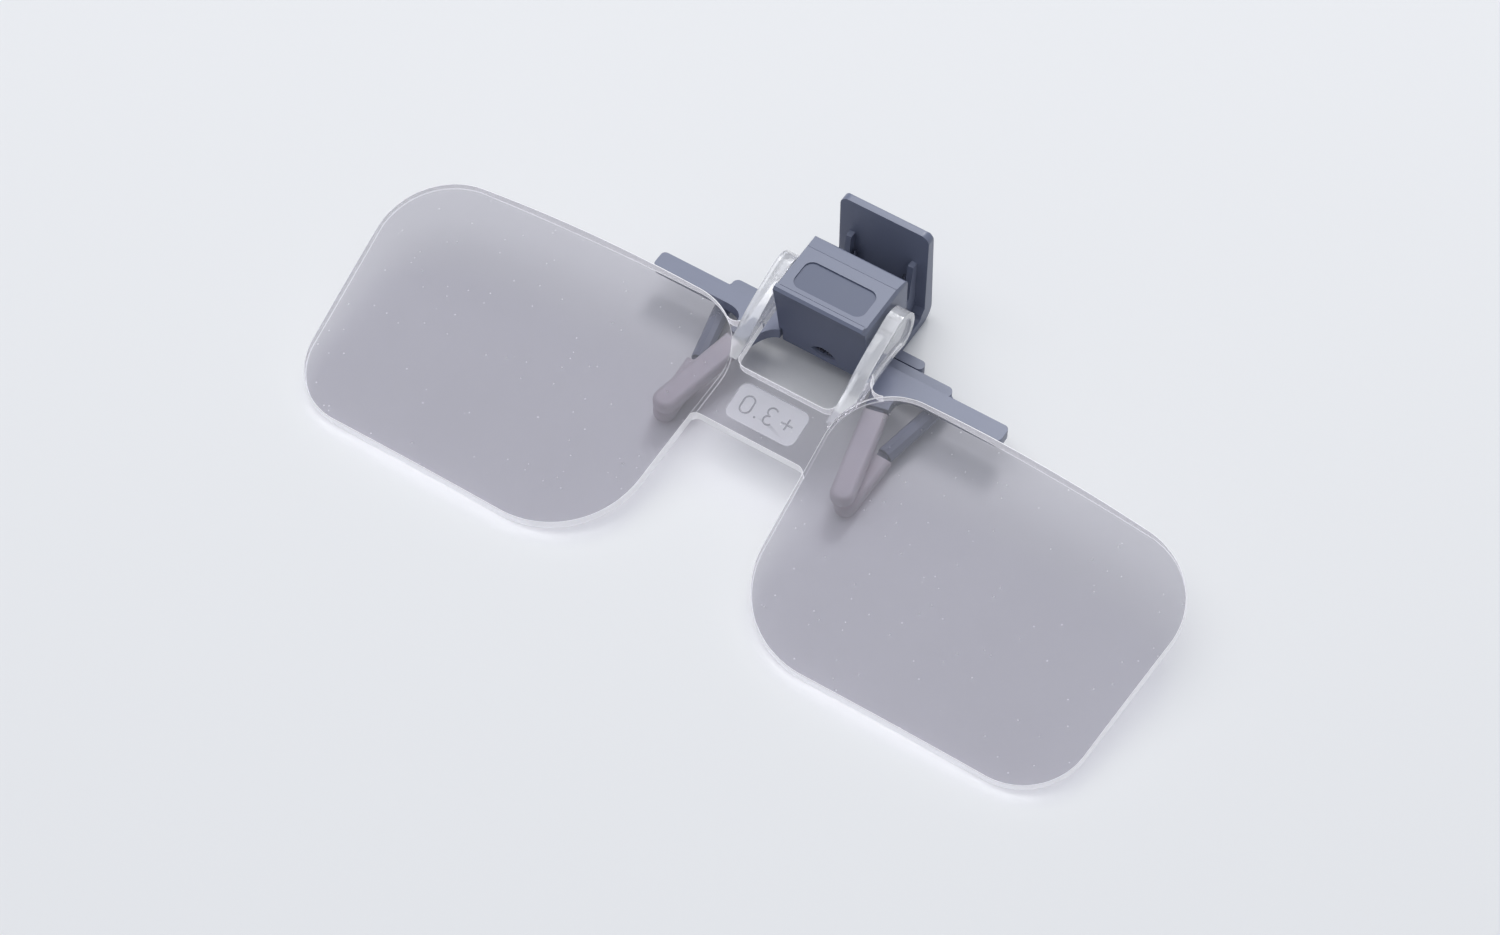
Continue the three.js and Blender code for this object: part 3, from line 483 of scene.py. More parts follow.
class Recipe:
    """A material under construction, with one Principled shader."""

    def __init__(self, name: str) -> None:
        """Start an empty material.

        Args:
            name: The material's name.
        """
        self.material = bpy.data.materials.new(name)
        self.material.use_nodes = True
        self.tree = self.material.node_tree
        self.tree.nodes.clear()
        self.surface = self.node("ShaderNodeBsdfPrincipled")
        self.output = self.node("ShaderNodeOutputMaterial", inputs={"Surface": self.surface.outputs["BSDF"]})
        self.coordinates = self.node("ShaderNodeTexCoord").outputs["Object"]

    def feed(self, node: Node, inputs: dict[Any, Any]) -> None:
        """Set or link the inputs of a node.

        Args:
            node: The node.
            inputs: Plain values, sockets or Value objects by socket name or number.
        """
        for key, value in inputs.items():
            source = value.socket if isinstance(value, Value) else value
            if isinstance(source, NodeSocket):
                self.tree.links.new(source, node.inputs[key])
            else:
                node.inputs[key].default_value = source

    def node(self, kind: str, settings: dict[str, Any] | None = None,
             inputs: dict[Any, Any] | None = None) -> Node:
        """Add a node.

        Args:
            kind: Blender's name of the node type.
            settings: Properties, set first.
            inputs: What its inputs take, as in feed.

        Returns:
            The node.
        """
        node = self.tree.nodes.new(kind)
        for name, value in (settings or {}).items():
            setattr(node, name, value)
        self.feed(node, inputs or {})
        return node

    def set(self, **sockets: Any) -> None:
        """Set or link sockets of the Principled shader, named with underscores for spaces."""
        self.feed(self.surface, {name.replace("_", " "): value for name, value in sockets.items()})

    def noise(self, scale: float, detail: float = 3.0, roughness: float = 0.5,
              stretch: Point = (1, 1, 1)) -> Value:
        """Noise on the piece's own coordinates, from about 0 to 1.

        Args:
            scale: Waves per metre.
            detail: Octaves.
            roughness: Weight of the finer octaves.
            stretch: Scale along each axis.

        Returns:
            The noise.
        """
        mapped = self.node("ShaderNodeMapping", inputs={"Vector": self.coordinates, "Scale": stretch})
        made = self.node("ShaderNodeTexNoise", inputs={
            "Vector": mapped.outputs[0], "Scale": scale, "Detail": detail, "Roughness": roughness})
        return Value(self, made.outputs["Fac"])

    def specks(self, scale: float, size: float) -> Value:
        """Sparse dots, whose size is a share of a cell, one inside them and zero elsewhere."""
        cells = self.node("ShaderNodeTexVoronoi", inputs={"Vector": self.coordinates, "Scale": scale})
        return 1 - Value(self, cells.outputs["Distance"]).above(size)

    def blend(self, mask: Value, low: Triple, high: Triple) -> NodeSocket:
        """Colour between two colours by a mask."""
        mix = self.node("ShaderNodeMix", {"data_type": "RGBA"}, {0: mask, 6: (*low, 1.0), 7: (*high, 1.0)})
        return mix.outputs[2]

    def bump(self, height: Value, depth: float) -> None:
        """Give the surface a relief of a depth in metres."""
        made = self.node("ShaderNodeBump", inputs={"Strength": 1.0, "Distance": depth, "Height": height})
        self.set(Normal=made.outputs["Normal"])

    def let_lamps_through(self, tint: Triple) -> None:
        """Let rays from the lamps pass, so that what lies behind is lit.

        Args:
            tint: Colour that they take on.
        """
        path = self.node("ShaderNodeLightPath")
        clear = self.node("ShaderNodeBsdfTransparent", inputs={"Color": (*tint, 1.0)})
        mix = self.node("ShaderNodeMixShader", inputs={
            0: path.outputs["Is Shadow Ray"], 1: self.surface.outputs["BSDF"], 2: clear.outputs[0]})
        self.feed(self.output, {"Surface": mix.outputs[0]})


@dataclass(frozen=True)
class ClearAcrylic:
    """Moulded acrylic: clear, hazy or frosted by its roughness and share of light. Its faint grey cast is
    painted shade on the clear lenses, its milky white is painted sheen on the hazy arms, and its pale glowing
    rims are painted highlight.

    The clear one bends light less than acrylic does and shines through its coat, so that a shallow
    look along the plate isn't lost in reflections inside it.
    """

    name: str
    tint: Triple
    lamp_tint: Triple
    roughness: float
    grain_scale: float
    grain_share: float
    grain_depth: float = 0.0
    transmission: float = 0.5
    coat: float = 0.0
    index: float = 1.49
    pale: Triple = (0.97, 0.97, 0.99)
    # Strength of a glow that is painted highlight: the rims give off light though they are no lamp.
    painted_rim_glow: float = 0.0

    def made(self) -> Material:
        """Build the material.

        Returns:
            The material.
        """
        recipe = Recipe(self.name)
        dust = recipe.specks(520, 0.06)
        grain = recipe.noise(self.grain_scale, 3, 0.6)
        recipe.set(
            Base_Color=recipe.blend(dust + grain * 0.12, self.tint, self.pale),
            Roughness=grain * self.grain_share + dust * 0.3 + self.roughness,
            IOR=self.index,
            Transmission_Weight=self.transmission,
            Coat_Weight=self.coat,
            Coat_Roughness=0.02,
            # Painted highlight: the pale emission that makes the rims glow.
            Emission_Color=(*self.pale, 1.0),
            Emission_Strength=self.painted_rim_glow,
        )
        if self.grain_depth > 0:
            recipe.bump(grain, self.grain_depth)
        recipe.let_lamps_through(self.lamp_tint)
        return recipe.material


@dataclass(frozen=True)
class SatinPlastic:
    """Blue-grey moulded plastic with a fine spark-eroded grain."""

    name: str = "satin_grey"
    colour: Triple = (0.158, 0.176, 0.25)
    worn: Triple = (0.2, 0.22, 0.302)
    roughness: float = 0.36

    def made(self) -> Material:
        """Build the material.

        Returns:
            The material.
        """
        recipe = Recipe(self.name)
        grain = recipe.noise(7000, 3, 0.6)
        flow = recipe.noise(160, 3, 0.5, (1, 0.4, 1))
        specks = recipe.specks(900, 0.05)
        mottle = flow * 0.7 + grain * 0.3
        recipe.set(
            Base_Color=recipe.blend(mottle + specks * 0.5, self.colour, self.worn),
            Roughness=grain * 0.12 + flow * 0.1 + (self.roughness - 0.1),
            IOR=1.5,
            Specular_IOR_Level=0.5,
        )
        recipe.bump(grain + flow * 0.5, 0.005 * MM)
        return recipe.material


@dataclass(frozen=True)
class SoftSleeve:
    """Translucent soft sleeve, a little pink, with a dull skin."""

    colour: Triple = (0.62, 0.575, 0.61)
    pale: Triple = (0.74, 0.70, 0.735)
    roughness: float = 0.42

    def made(self) -> Material:
        """Build the material.

        Returns:
            The material.
        """
        recipe = Recipe("soft_sleeve")
        cloud = recipe.noise(420, 4, 0.6)
        grain = recipe.noise(5200, 3)
        dust = recipe.specks(1500, 0.07)
        recipe.set(
            Base_Color=recipe.blend(cloud + dust * 0.5, self.colour, self.pale),
            Roughness=grain * 0.2 + (self.roughness - 0.1),
            IOR=1.43,
            Transmission_Weight=0.35,
            Subsurface_Weight=0.25,
            Subsurface_Radius=(0.0012, 0.0009, 0.0009),
        )
        recipe.bump(cloud + grain * 0.3, 0.02 * MM)
        recipe.let_lamps_through(self.colour)
        return recipe.material


@dataclass(frozen=True)
class BrightSteel:
    """Drawn or stamped steel, bright with fine lines along the work."""

    name: str = "bright_steel"
    colour: Triple = (0.62, 0.62, 0.64)
    dark: Triple = (0.42, 0.42, 0.45)
    roughness: float = 0.22
    stretch: Triple = (0.1, 1, 1)

    def made(self) -> Material:
        """Build the material.

        Returns:
            The material.
        """
        recipe = Recipe(self.name)
        lines = recipe.noise(5200, 4, 0.6, self.stretch)
        recipe.set(
            Base_Color=recipe.blend(lines, self.dark, self.colour),
            Metallic=1.0,
            Roughness=lines * 0.18 + (self.roughness - 0.08),
        )
        recipe.bump(lines, 0.01 * MM)
        return recipe.material


@dataclass(frozen=True)
class Finishes:
    """Every finish of the part, made once: the plate's zones, one for each other slot, two dark ones (a grey
    of painted shade and a dark steel).
    """

    plate: tuple[Material, ...]
    slots: dict[str, Material]
    dark_grey: Material
    dark_steel: Material

    @staticmethod
    def all_made() -> "Finishes":
        """Build all the materials.

        Returns:
            The finishes.
        """
        plate = {
            # Painted shade: the clear lenses' grey tint darkens what shows through them.
            PlateZone.LENS: ClearAcrylic(
                "clear_acrylic", (0.58, 0.57, 0.615), (0.90, 0.895, 0.92), 0.004, 90, 0.006, transmission=1.0,
                coat=1.0, index=1.08, pale=(0.86, 0.86, 0.89)),
            # Painted sheen: the arms' milky white stands in for their reflections; their roughness is real
            # haze.
            PlateZone.HAZY_PAINTED_SHEEN: ClearAcrylic(
                "hazy_acrylic", (0.92, 0.92, 0.94), (0.92, 0.92, 0.94), 0.09, 600, 0.12, 0.02 * MM,
                transmission=0.68, coat=0.8),
            PlateZone.FROSTED: ClearAcrylic(
                "frosted_acrylic", (0.86, 0.86, 0.89), (0.85, 0.85, 0.88), 0.5, 9000, 0.25, 0.03 * MM,
                transmission=0.45),
            # Painted highlight: the rims' pale colour and glow.
            PlateZone.EDGE: ClearAcrylic(
                "edge_acrylic", (0.74, 0.74, 0.77), (0.9, 0.9, 0.92), 0.35, 400, 0.08, painted_rim_glow=0.22),
            PlateZone.MARK: ClearAcrylic(
                "mark_acrylic", (0.30, 0.30, 0.34), (0.8, 0.8, 0.82), 0.3, 9000, 0.2),
        }
        return Finishes(
            tuple(plate[zone].made() for zone in PlateZone),
            {"grey_plastic": SatinPlastic().made(), "clear_rubber": SoftSleeve().made(),
             "bright_steel": BrightSteel().made()},
            # Painted shade: a darker grey for the body's front wall and recess floor, where shade falls.
            SatinPlastic("dark_grey", (0.092, 0.108, 0.172), (0.112, 0.13, 0.2), 0.45).made(),
            BrightSteel("dark_steel", (0.34, 0.34, 0.37), (0.16, 0.16, 0.19), 0.26, (1, 0.1, 1)).made(),
        )


# Lens plate


@dataclass
class LensPlate:
    """The clear plate: two lenses, the bridge with its frosted field, the webs and the hinge arms.

    Its outline is drawn in its own plane, from the lower rim of the lenses, and then leaned about
    the hinge, whose place the frame gives.
    """

    width: float = 51.3 * MM
    height: float = 39.1 * MM
    nose_gap: float = 15.5 * MM
    thickness: float = 3.5 * MM
    surface_radius: float = 327 * MM
    corner_radii: tuple[float, ...] = (9.0 * MM, 13.3 * MM, 9.1 * MM, 10.5 * MM)
    corner_shares: tuple[Pair, ...] = ((-0.012, 1.0), (0.042, 0.0), (0.948, 0.0), (1.022, 0.94))
    corner_steps: int = 28
    longest_edge: float = 2.0 * MM
    arch_rise: float = 0.43 * MM
    arch_steps: int = 24
    plate: float = 1.8 * MM
    bridge_low: float = 23.5 * MM
    bridge_high: float = 31.9 * MM
    bridge_fillet: float = 1.3 * MM
    window_fillet: float = 1.6 * MM
    web_fillet: float = 1.6 * MM
    web_inset: float = 0.2
    field_size: Pair = (10.2 * MM, 5.3 * MM)
    field_rise: float = 0.25 * MM
    field_radius: float = 1.2 * MM
    field_shift: Pair = (-0.35 * MM, 0.55 * MM)
    digit_size: Pair = (1.5 * MM, 2.45 * MM)
    digit_pitch: float = 2.7 * MM
    digit_places: tuple[float, ...] = (-1.1, -0.48, 0.18, 1.08)
    stroke_width: float = 0.24 * MM
    arm_gap: float = 14.4 * MM
    arm_thickness: float = 2.1 * MM
    arm_radius: float = 3.2 * MM
    arm_root: float = 1.6 * MM
    recess_depth: float = 0.35 * MM
    recess_margin: float = 0.9 * MM
    pivot_reach: float = 45.35 * MM
    pivot_offset: float = 0.75 * MM
    axle_diameter: float = 2.2 * MM
    axle_flat: float = 1.6 * MM
    axle_engagement: float = 1.3 * MM
    bore_clearance: float = 0.25 * MM
    rings: int = 12
    rim_sharp_deg: float = 60
    bridge_sharp_deg: float = 32
    edge_ease: float = 0.16 * MM
    rim_overlap: float = 0.12 * MM
    face_share: float = 0.97

    def __post_init__(self) -> None:
        """Work out the middles of lens and field, and the lean of the plate from its hinge's height."""
        self.middle = Vector(((self.nose_gap + self.width) / 2, self.height / 2))
        self.field_middle = Vector((0, (self.bridge_low + self.bridge_high) / 2)) + Vector(self.field_shift)
        pivot = Vector(joint_place("lens_flip"))
        lift = self.thickness / 2 - self.drop(self.height / 2) + self.pivot_offset
        tilt = math.asin(pivot.z / math.hypot(self.pivot_reach, lift)) - math.atan2(lift, self.pivot_reach)
        self.seat = (Matrix.Translation(pivot) @ Matrix.Rotation(tilt, 4, "X")
                     @ Matrix.Translation((0, -self.pivot_reach, -self.pivot_offset)))

    def drop(self, distance: float) -> float:
        """How far a lens face has fallen at a distance from its middle."""
        return self.surface_radius - math.sqrt(self.surface_radius**2 - distance**2)

    def outline(self) -> Outline:
        """Outline of the right lens, its long edges divided and its top edge a shallow arch.

        Returns:
            The outline's points.
        """
        corners = [
            (self.nose_gap / 2 + self.width * across, self.height * up, radius)
            for (across, up), radius in zip(self.corner_shares, self.corner_radii)
        ]
        points = rounded(corners, self.corner_steps)
        start, end = Vector(points[-1]), Vector(points[0])
        crown = (start + end) / 2 + Vector((0, 2 * self.arch_rise))
        sides = points[:1]
        for before, after in zip(points, points[1:]):
            a, b = Vector(before), Vector(after)
            parts = max(1, math.ceil((b - a).length / self.longest_edge))
            sides += [tuple(a.lerp(b, part / parts)) for part in range(1, parts + 1)]
        return sides + curve(start, crown, end, self.arch_steps)[1:-1]

    def lens(self) -> Object:
        """The right lens: rings of its outline drawn in to its middle, crowned on both faces.

        Returns:
            The lens.
        """
        piece = flat("lens", self.outline(), 0)
        with editing(piece):
            for ring in range(self.rings, 0, -1):
                share = (ring - 0.6) / (ring + 0.4)
                bpy.ops.mesh.inset(thickness=0, depth=0)
                bpy.ops.transform.resize(value=(share, share, 1), center_override=(*self.middle, 0))
            bpy.ops.mesh.select_all(action="SELECT")
            bpy.ops.mesh.extrude_region_move(TRANSFORM_OT_translate={"value": (0, 0, self.thickness)})
        for vertex in piece.data.vertices:
            half = self.thickness / 2 - self.drop((vertex.co.xy - self.middle).length)
            vertex.co.z = half if vertex.co.z > self.thickness / 2 else -half
        return eased(outwards(piece), self.edge_ease, 3, self.rim_sharp_deg)

    def fillet(self, radius: float, low: Vector, high: Vector) -> tuple[Vector, Vector]:
        """Circle that touches the right lens's outline.

        Args:
            radius: Its radius.
            low: A middle that is too near the lens.
            high: A middle that is too far away.

        Returns:
            The middle, between those two, and the point of the outline that the circle touches.
        """
        outline = [Vector(point) for point in self.outline()]
        for _ in range(40):
            middle = (low + high) / 2
            touched = min(outline, key=lambda point: (point - middle).length)
            if (touched - middle).length < radius:
                low = middle
            else:
                high = middle
        return middle, touched

    @staticmethod
    def arc(middle: Vector, start: Vector, end: Vector, steps: int = 12) -> Outline:
        """Points of the shorter arc about a middle from one point to another."""
        first, turn = start - middle, (start - middle).angle_signed(end - middle)
        return [tuple(middle + Matrix.Rotation(-turn * step / steps, 2) @ first) for step in range(steps + 1)]

    def bridge(self) -> Object:
        """The bridge and its webs, one flat plate whose fillets run out along the lenses.

        Returns:
            The bridge.
        """
        arm_inner = self.arm_gap / 2
        arm_outer = arm_inner + self.arm_thickness
        low, high, window = self.bridge_low, self.bridge_high, self.window_fillet
        under = low - self.bridge_fillet
        foot, foot_touch = self.fillet(self.bridge_fillet, Vector((self.nose_gap, under)), Vector((0, under)))
        side = arm_outer + self.web_fillet
        top, top_touch = self.fillet(self.web_fillet, Vector((side, high)), Vector((side, self.height * 1.2)))
        right = [
            (0, low),
            *self.arc(foot, Vector((foot.x, low)), foot_touch),
            tuple(foot_touch.lerp(self.middle, self.web_inset)),
            tuple(top_touch.lerp(self.middle, self.web_inset)),
            *self.arc(top, top_touch, Vector((arm_outer, top.y))),
            (arm_outer - self.arm_thickness / 2, top.y + self.arm_root),
            (arm_inner, top.y),
            *curve((arm_inner, high + window), (arm_inner, high), (arm_inner - window, high)),
            (0, high),
        ]
        piece = raised("bridge", right + mirrored(right)[1:-1], -self.plate / 2, self.plate / 2)
        eased(cleaned(piece), self.edge_ease, 3, self.bridge_sharp_deg)
        sides = self.inside_rim(), mirrored(self.inside_rim())
        cutters = [raised("inside", side, -self.thickness, self.thickness) for side in sides]
        return combine(piece, cutters, Cut.TAKE_AWAY)

    def inside_rim(self) -> Outline:
        """The right lens's outline drawn in a little, at which what joins the lens ends."""
        points = [Vector(point) for point in self.outline()]
        return [tuple(point + (self.middle - point).normalized() * self.rim_overlap) for point in points]

    def field(self) -> Object:
        """The raised field on the wearer's side of the bridge.

        Returns:
            The field.
        """
        half = Vector(self.field_size) / 2
        outline = rectangle(self.field_middle - half, self.field_middle + half, self.field_radius)
        piece = raised("field", outline, -self.plate / 2 - self.field_rise, 0)
        return eased(piece, self.edge_ease / 2, 2, self.bridge_sharp_deg)

    def arm_outline(self, inset: float) -> Outline:
        """Side outline of an arm, whose root runs out in the bridge.

        Args:
            inset: Margin by which it is drawn in.

        Returns:
            The outline as (v, height).
        """
        face = max(self.plate / 2 - inset - self.edge_ease / 2, self.edge_ease / 2)
        radius = self.arm_radius - inset
        root = self.bridge_high - self.arm_root + 2 * inset
        reach, offset = self.pivot_reach, self.pivot_offset
        turns = [math.pi * (step / 32 - 0.5) for step in range(33)]
        tip = [(reach + radius * math.cos(turn), offset + radius * math.sin(turn)) for turn in turns]
        back = curve((root + 2 * self.arm_radius, -face), (reach - self.arm_radius, -face),
                     (reach, offset - radius), 14)
        bend = (reach - 2.2 * self.arm_radius, offset + radius * 0.72)
        heel = (root + 1.2 * self.arm_radius, face)
        middle = (Vector(bend) + Vector(heel)) / 2
        front = curve((reach, offset + radius), bend, middle, 12) + curve(middle, heel, (root, face), 12)[1:]
        return [(root, -face), *back, *tip[1:-1], *front]

    def arm(self) -> Object:
        """The right hinge arm, its outer face recessed inside a rim.

        Returns:
            The arm.
        """
        inner = self.arm_gap / 2
        outer = inner + self.arm_thickness
        piece = raised("arm", self.arm_outline(0), inner, outer, Plane.SIDE)
        recess = raised("recess", self.arm_outline(self.recess_margin), outer - self.recess_depth,
                        outer + OVERRUN, Plane.SIDE)
        combine(piece, [recess], Cut.TAKE_AWAY)
        eased(cleaned(piece), self.edge_ease, 3, self.bridge_sharp_deg)
        inside = raised("inside", self.inside_rim(), -self.pivot_reach, self.pivot_reach)
        return combine(piece, [inside], Cut.TAKE_AWAY)

    def socket(self) -> Object:
        """The hollow in the right arm for the flattened end of the axle.

        Returns:
            The hollow as a solid.
        """
        inner = self.arm_gap / 2
        radius = self.axle_diameter / 2 + self.bore_clearance
        flat_half = self.axle_flat / 2 + self.bore_clearance
        low, high = inner - OVERRUN, inner + self.axle_engagement + self.bore_clearance
        piece = bar("socket", radius, low, high, Plane.SIDE, (self.pivot_reach, self.pivot_offset))
        flats = block(
            "flats",
            (low, self.pivot_reach - radius - OVERRUN, self.pivot_offset - flat_half),
            (high, self.pivot_reach + radius + OVERRUN, self.pivot_offset + flat_half),
        )
        return combine(piece, [flats], Cut.KEEP_COMMON)

    def digits(self) -> list[Object]:
        """Lines of the lens power +3.0, mirrored as the front shows them, that cut grooves into the field.

        Returns:
            The lines as wires.
        """
        wide, tall = self.digit_size[0] / 2, self.digit_size[1] / 2
        zero_x, point_x, three_x, plus_x = (self.digit_pitch * share for share in self.digit_places)
        arm, radius = self.digit_size[0] * 0.55, tall / 2
        halves_of_three = [
            [(three_x + radius * 1.1 * math.cos(turn), side * radius + radius * math.sin(turn))
             for turn in (math.radians(start + (end - start) * step / 14) for step in range(15))]
            for side, start, end in ((1, 35, 270), (-1, 90, 325))
        ]
        lines = [
            rectangle((zero_x - wide, -tall), (zero_x + wide, tall), wide * 0.96),
            [(point_x, -tall), (point_x, self.stroke_width - tall)],
            *halves_of_three,
            [(plus_x - arm, 0), (plus_x + arm, 0)],
            [(plus_x, -arm), (plus_x, arm)],
        ]
        (x, y), floor = self.field_middle, -self.plate / 2 - self.field_rise
        return [wire("stroke", [(x + u, y + v, floor) for u, v in line], self.stroke_width / 2, index == 0, 2)
                for index, line in enumerate(lines)]

    @staticmethod
    def other_side(piece: Object) -> Object:
        """Mirror image of a piece across the middle plane, with its own mesh.

        Args:
            piece: The piece.

        Returns:
            The mirror image.
        """
        copy = bpy.data.objects.new(piece.name + "_left", piece.data.copy())
        bpy.context.scene.collection.objects.link(copy)
        copy.data.transform(Matrix.Scale(-1, 4, (1, 0, 0)))
        copy.data.flip_normals()
        return copy

    def build(self, finishes: Finishes) -> None:
        """Build the plate from pieces that bring their finishes along.

        Args:
            finishes: The materials.
        """
        lens, arm, bridge, field, socket = self.lens(), self.arm(), self.bridge(), self.field(), self.socket()
        digits = self.digits()
        zones = {PlateZone.LENS: (lens, bridge), PlateZone.HAZY_PAINTED_SHEEN: (arm, socket), PlateZone.FROSTED: (field,),
                 PlateZone.MARK: digits}
        for zone, piece in [(zone, piece) for zone, pieces in zones.items() for piece in pieces]:
            # The lens walls take the EDGE finish, whose pale colour and glow are painted highlight.
            walls = PlateZone.EDGE if zone is PlateZone.LENS else zone
            piece.data.materials.clear()
            for material in finishes.plate:
                piece.data.materials.append(material)
            for face in piece.data.polygons:
                face.material_index = (zone if abs(face.normal.z) > self.face_share else walls).value
        plate = combine(bridge, [field, self.other_side(lens), lens, self.other_side(arm), arm], Cut.JOIN)
        combine(plate, [self.other_side(socket), socket, *digits], Cut.TAKE_AWAY)
        plate.name = "clear_lens_plate"
        smooth(plate, 28)
        plate.data.transform(self.seat)
        place(plate, "lenses", None, ["lens_plate"])


# Pieces that are the frame's solid with eased edges


class Make(Enum):
    """Ending of a piece's name, its slot, its easing (width, steps, angle) and the angle of its shading."""

    MOULDED = ("_moulding", "grey_plastic", (MOULD_EASE, 3, MOULD_SHARP_DEG), 30)
    STEEL = ("_steel", "bright_steel", (0.08 * MM, 2, 40), 30)
    THIN_STEEL = ("_steel", "bright_steel", (0.03 * MM, 2, 40), 30)
    SOFT = ("_soft", "clear_rubber", (0.12 * MM, 3, 60), 50)


@dataclass
class FramePart:
    """One piece, its solid taken from the frame and its edges eased."""

    node: str
    body: str
    make: Make

    def build(self, finishes: Finishes) -> None:
        """Build the piece and dress it.

        Args:
            finishes: The materials.
        """
        ending, slot, easing, shading = self.make.value
        piece = smooth(eased(copy_of(self.node, self.node + ending), *easing), shading)
        place(piece, self.body, finishes.slots[slot], [self.node])


# The grey clip: lever, body and screw


@dataclass
class ThumbLever:
    """The lever: its solid from the frame, its thumb plate's inner face drawn back between thin ribs."""

    gap: float = 2.2 * MM
    draw_back: float = 0.75 * MM
    low: float = 2.3 * MM
    slope: float = 0.7 * MM
    rib_rise: float = 11.6 * MM
    ribs: Pair = (4.25 * MM, 5.05 * MM)

    def cutters(self, piece: Object) -> list[Object]:
        """Slabs in front of the thumb plate, beside and above its two ribs.

        Args:
            piece: The lever.

        Returns:
            The slabs.
        """
        vertices = piece.data.vertices
        inner = Vector(joint_place("lever_squeeze")).y + self.gap
        outer, start, foot = inner + self.draw_back, inner - OVERRUN, self.low + self.slope
        top = max(vertex.co.z for vertex in vertices) + OVERRUN
        side = max(vertex.co.x for vertex in vertices)
        wedge = [(start, self.low), (inner, self.low), (outer, foot), (outer, top), (start, top)]
        over = [(start, self.rib_rise), (outer, self.rib_rise), (outer, top), (start, top)]
        near, far = self.ribs
        slabs = (wedge, -near, near), (wedge, -side, -far), (wedge, far, side), (over, -side, side)
        return [raised("slab", *slab, Plane.SIDE) for slab in slabs]

    def build(self, finishes: Finishes) -> None:
        """Build the lever and dress it.

        Args:
            finishes: The materials.
        """
        piece = copy_of("thumb_lever", "thumb_lever_moulding")
        combine(piece, self.cutters(piece), Cut.TAKE_AWAY)
        smooth(eased(cleaned(piece)))
        place(piece, "lever", finishes.slots["grey_plastic"], ["thumb_lever"])


@dataclass
class ClipBody:
    """The body: its solid from the frame, with an eye-shaped screw pocket, a bare recess and fine lines."""

    width: float = 13.8 * MM
    below_pivot: float = 5.5 * MM
    front_height: float = 15.7 * MM
    foot_height: float = 3.3 * MM
    setback: float = 0.3 * MM
    lean: float = 1.7 * MM
    hollow: float = 0.2 * MM
    wall: float = 1.3 * MM
    ridge_width: float = 1.1 * MM
    band_start: float = 8.4 * MM
    groove_width: float = 0.2 * MM
    groove_depth: float = 0.14 * MM
    band_line: float = 0.05 * MM
    screw_height: float = 4.9 * MM
    eye_width: float = 3.8 * MM
    eye_rise: float = 1.15 * MM
    eye_fall: float = 0.75 * MM
    eye_depth: float = 0.95 * MM
    recess_shows: float = 0.2 * MM
    recess_size: Pair = (10.5 * MM, 4.7 * MM)
    recess_radius: float = 1.3 * MM
    recess_margin: float = 0.85 * MM
    same_height: float = 0.02 * MM

    def __post_init__(self) -> None:
        """Take the hinge's place from the frame."""
        self.front_y = joint_place("lens_flip")[1] - self.below_pivot

    def face_y(self, height: float) -> float:
        """Place of the leaning front face at a height."""
        share = (self.front_height - height) / (self.front_height - self.foot_height)
        return self.front_y + self.setback + self.lean * share + 4 * self.hollow * share * (1 - share)

    def plug(self) -> Object:
        """Slab that closes the round pocket in the front wall again.

        Returns:
            The slab.
        """
        half, top = self.eye_width / 2, self.screw_height + self.eye_width / 2
        heights = [self.foot_height + (top - self.foot_height) * step / 6 for step in range(7)]
        front = [(self.face_y(height), height) for height in heights]
        back = [(y + self.wall, height) for y, height in reversed(front)]
        return raised("plug", front + back, -half, half, Plane.SIDE)

    def eye(self) -> Object:
        """Eye-shaped pocket in which the screw's head shows.

        Returns:
            The pocket as a solid.
        """
        half, middle = self.eye_width / 2, self.screw_height
        over = curve((half, middle), (0, middle + 2 * self.eye_rise), (-half, middle), 20)
        under = curve((-half, middle), (0, middle - 2 * self.eye_fall), (half, middle), 20)
        face = self.face_y(middle)
        return raised("eye", over + under[1:-1], face - OVERRUN, face + self.eye_depth, Plane.BACK)

    def recess(self, low: float, high: float) -> Object:
        """Slab with the outline of the bare recess on the top.

        Args:
            low: Height at which it starts.
            high: Height at which it ends.

        Returns:
            The slab.
        """
        wide, deep = self.recess_size
        front = self.front_y + self.ridge_width + self.recess_margin
        outline = rectangle((-wide / 2, front), (wide / 2, front + deep), self.recess_radius)
        return raised("recess", outline, low, high)

    def lines(self) -> list[Object]:
        """Fine lines across the top: one behind the ridge and one where the rear band begins.

        Returns:
            The lines as blocks.
        """
        half, height, top = (self.width - self.wall) / 2, self.front_height, self.front_height + OVERRUN
        ridge, band = self.front_y + self.ridge_width, self.front_y + self.band_start
        line = self.band_line
        return [
            block("line", (-half, ridge, height - self.groove_depth), (half, ridge + self.groove_width, top)),
            block("line", (-self.width, band - line / 2, height - line), (self.width, band + line / 2, top)),
        ]

    def build(self, finishes: Finishes) -> None:
        """Build the body and dress it, its front wall and its recess floor in a darker grey that is painted
        shade.

        Args:
            finishes: The materials.
        """
        piece = copy_of("clip_body", "clip_body_moulding")
        floor = self.front_height - self.recess_shows
        fill = self.recess(floor - self.wall / 2, self.front_height - self.recess_shows / 2)
        combine(piece, [self.plug(), fill], Cut.JOIN)
        combine(piece, [self.eye(), self.recess(floor, self.front_height + OVERRUN)], Cut.TAKE_AWAY)
        eased(cleaned(piece))
        combine(piece, self.lines(), Cut.TAKE_AWAY)
        smooth(piece)
        place(piece, "clip", finishes.slots["grey_plastic"], ["clip_body"])
        piece.data.materials.append(finishes.dark_grey)
        # Painted shade: the front wall and the recess floor take the darker grey.
        for face in piece.data.polygons:
            in_recess = face.normal.z > 0.9 and abs(face.center.z - floor) < self.same_height
            in_front = face.normal.y < -0.75 and face.center.y < self.front_y + 3 * self.wall
            face.material_index = int(in_recess or in_front)


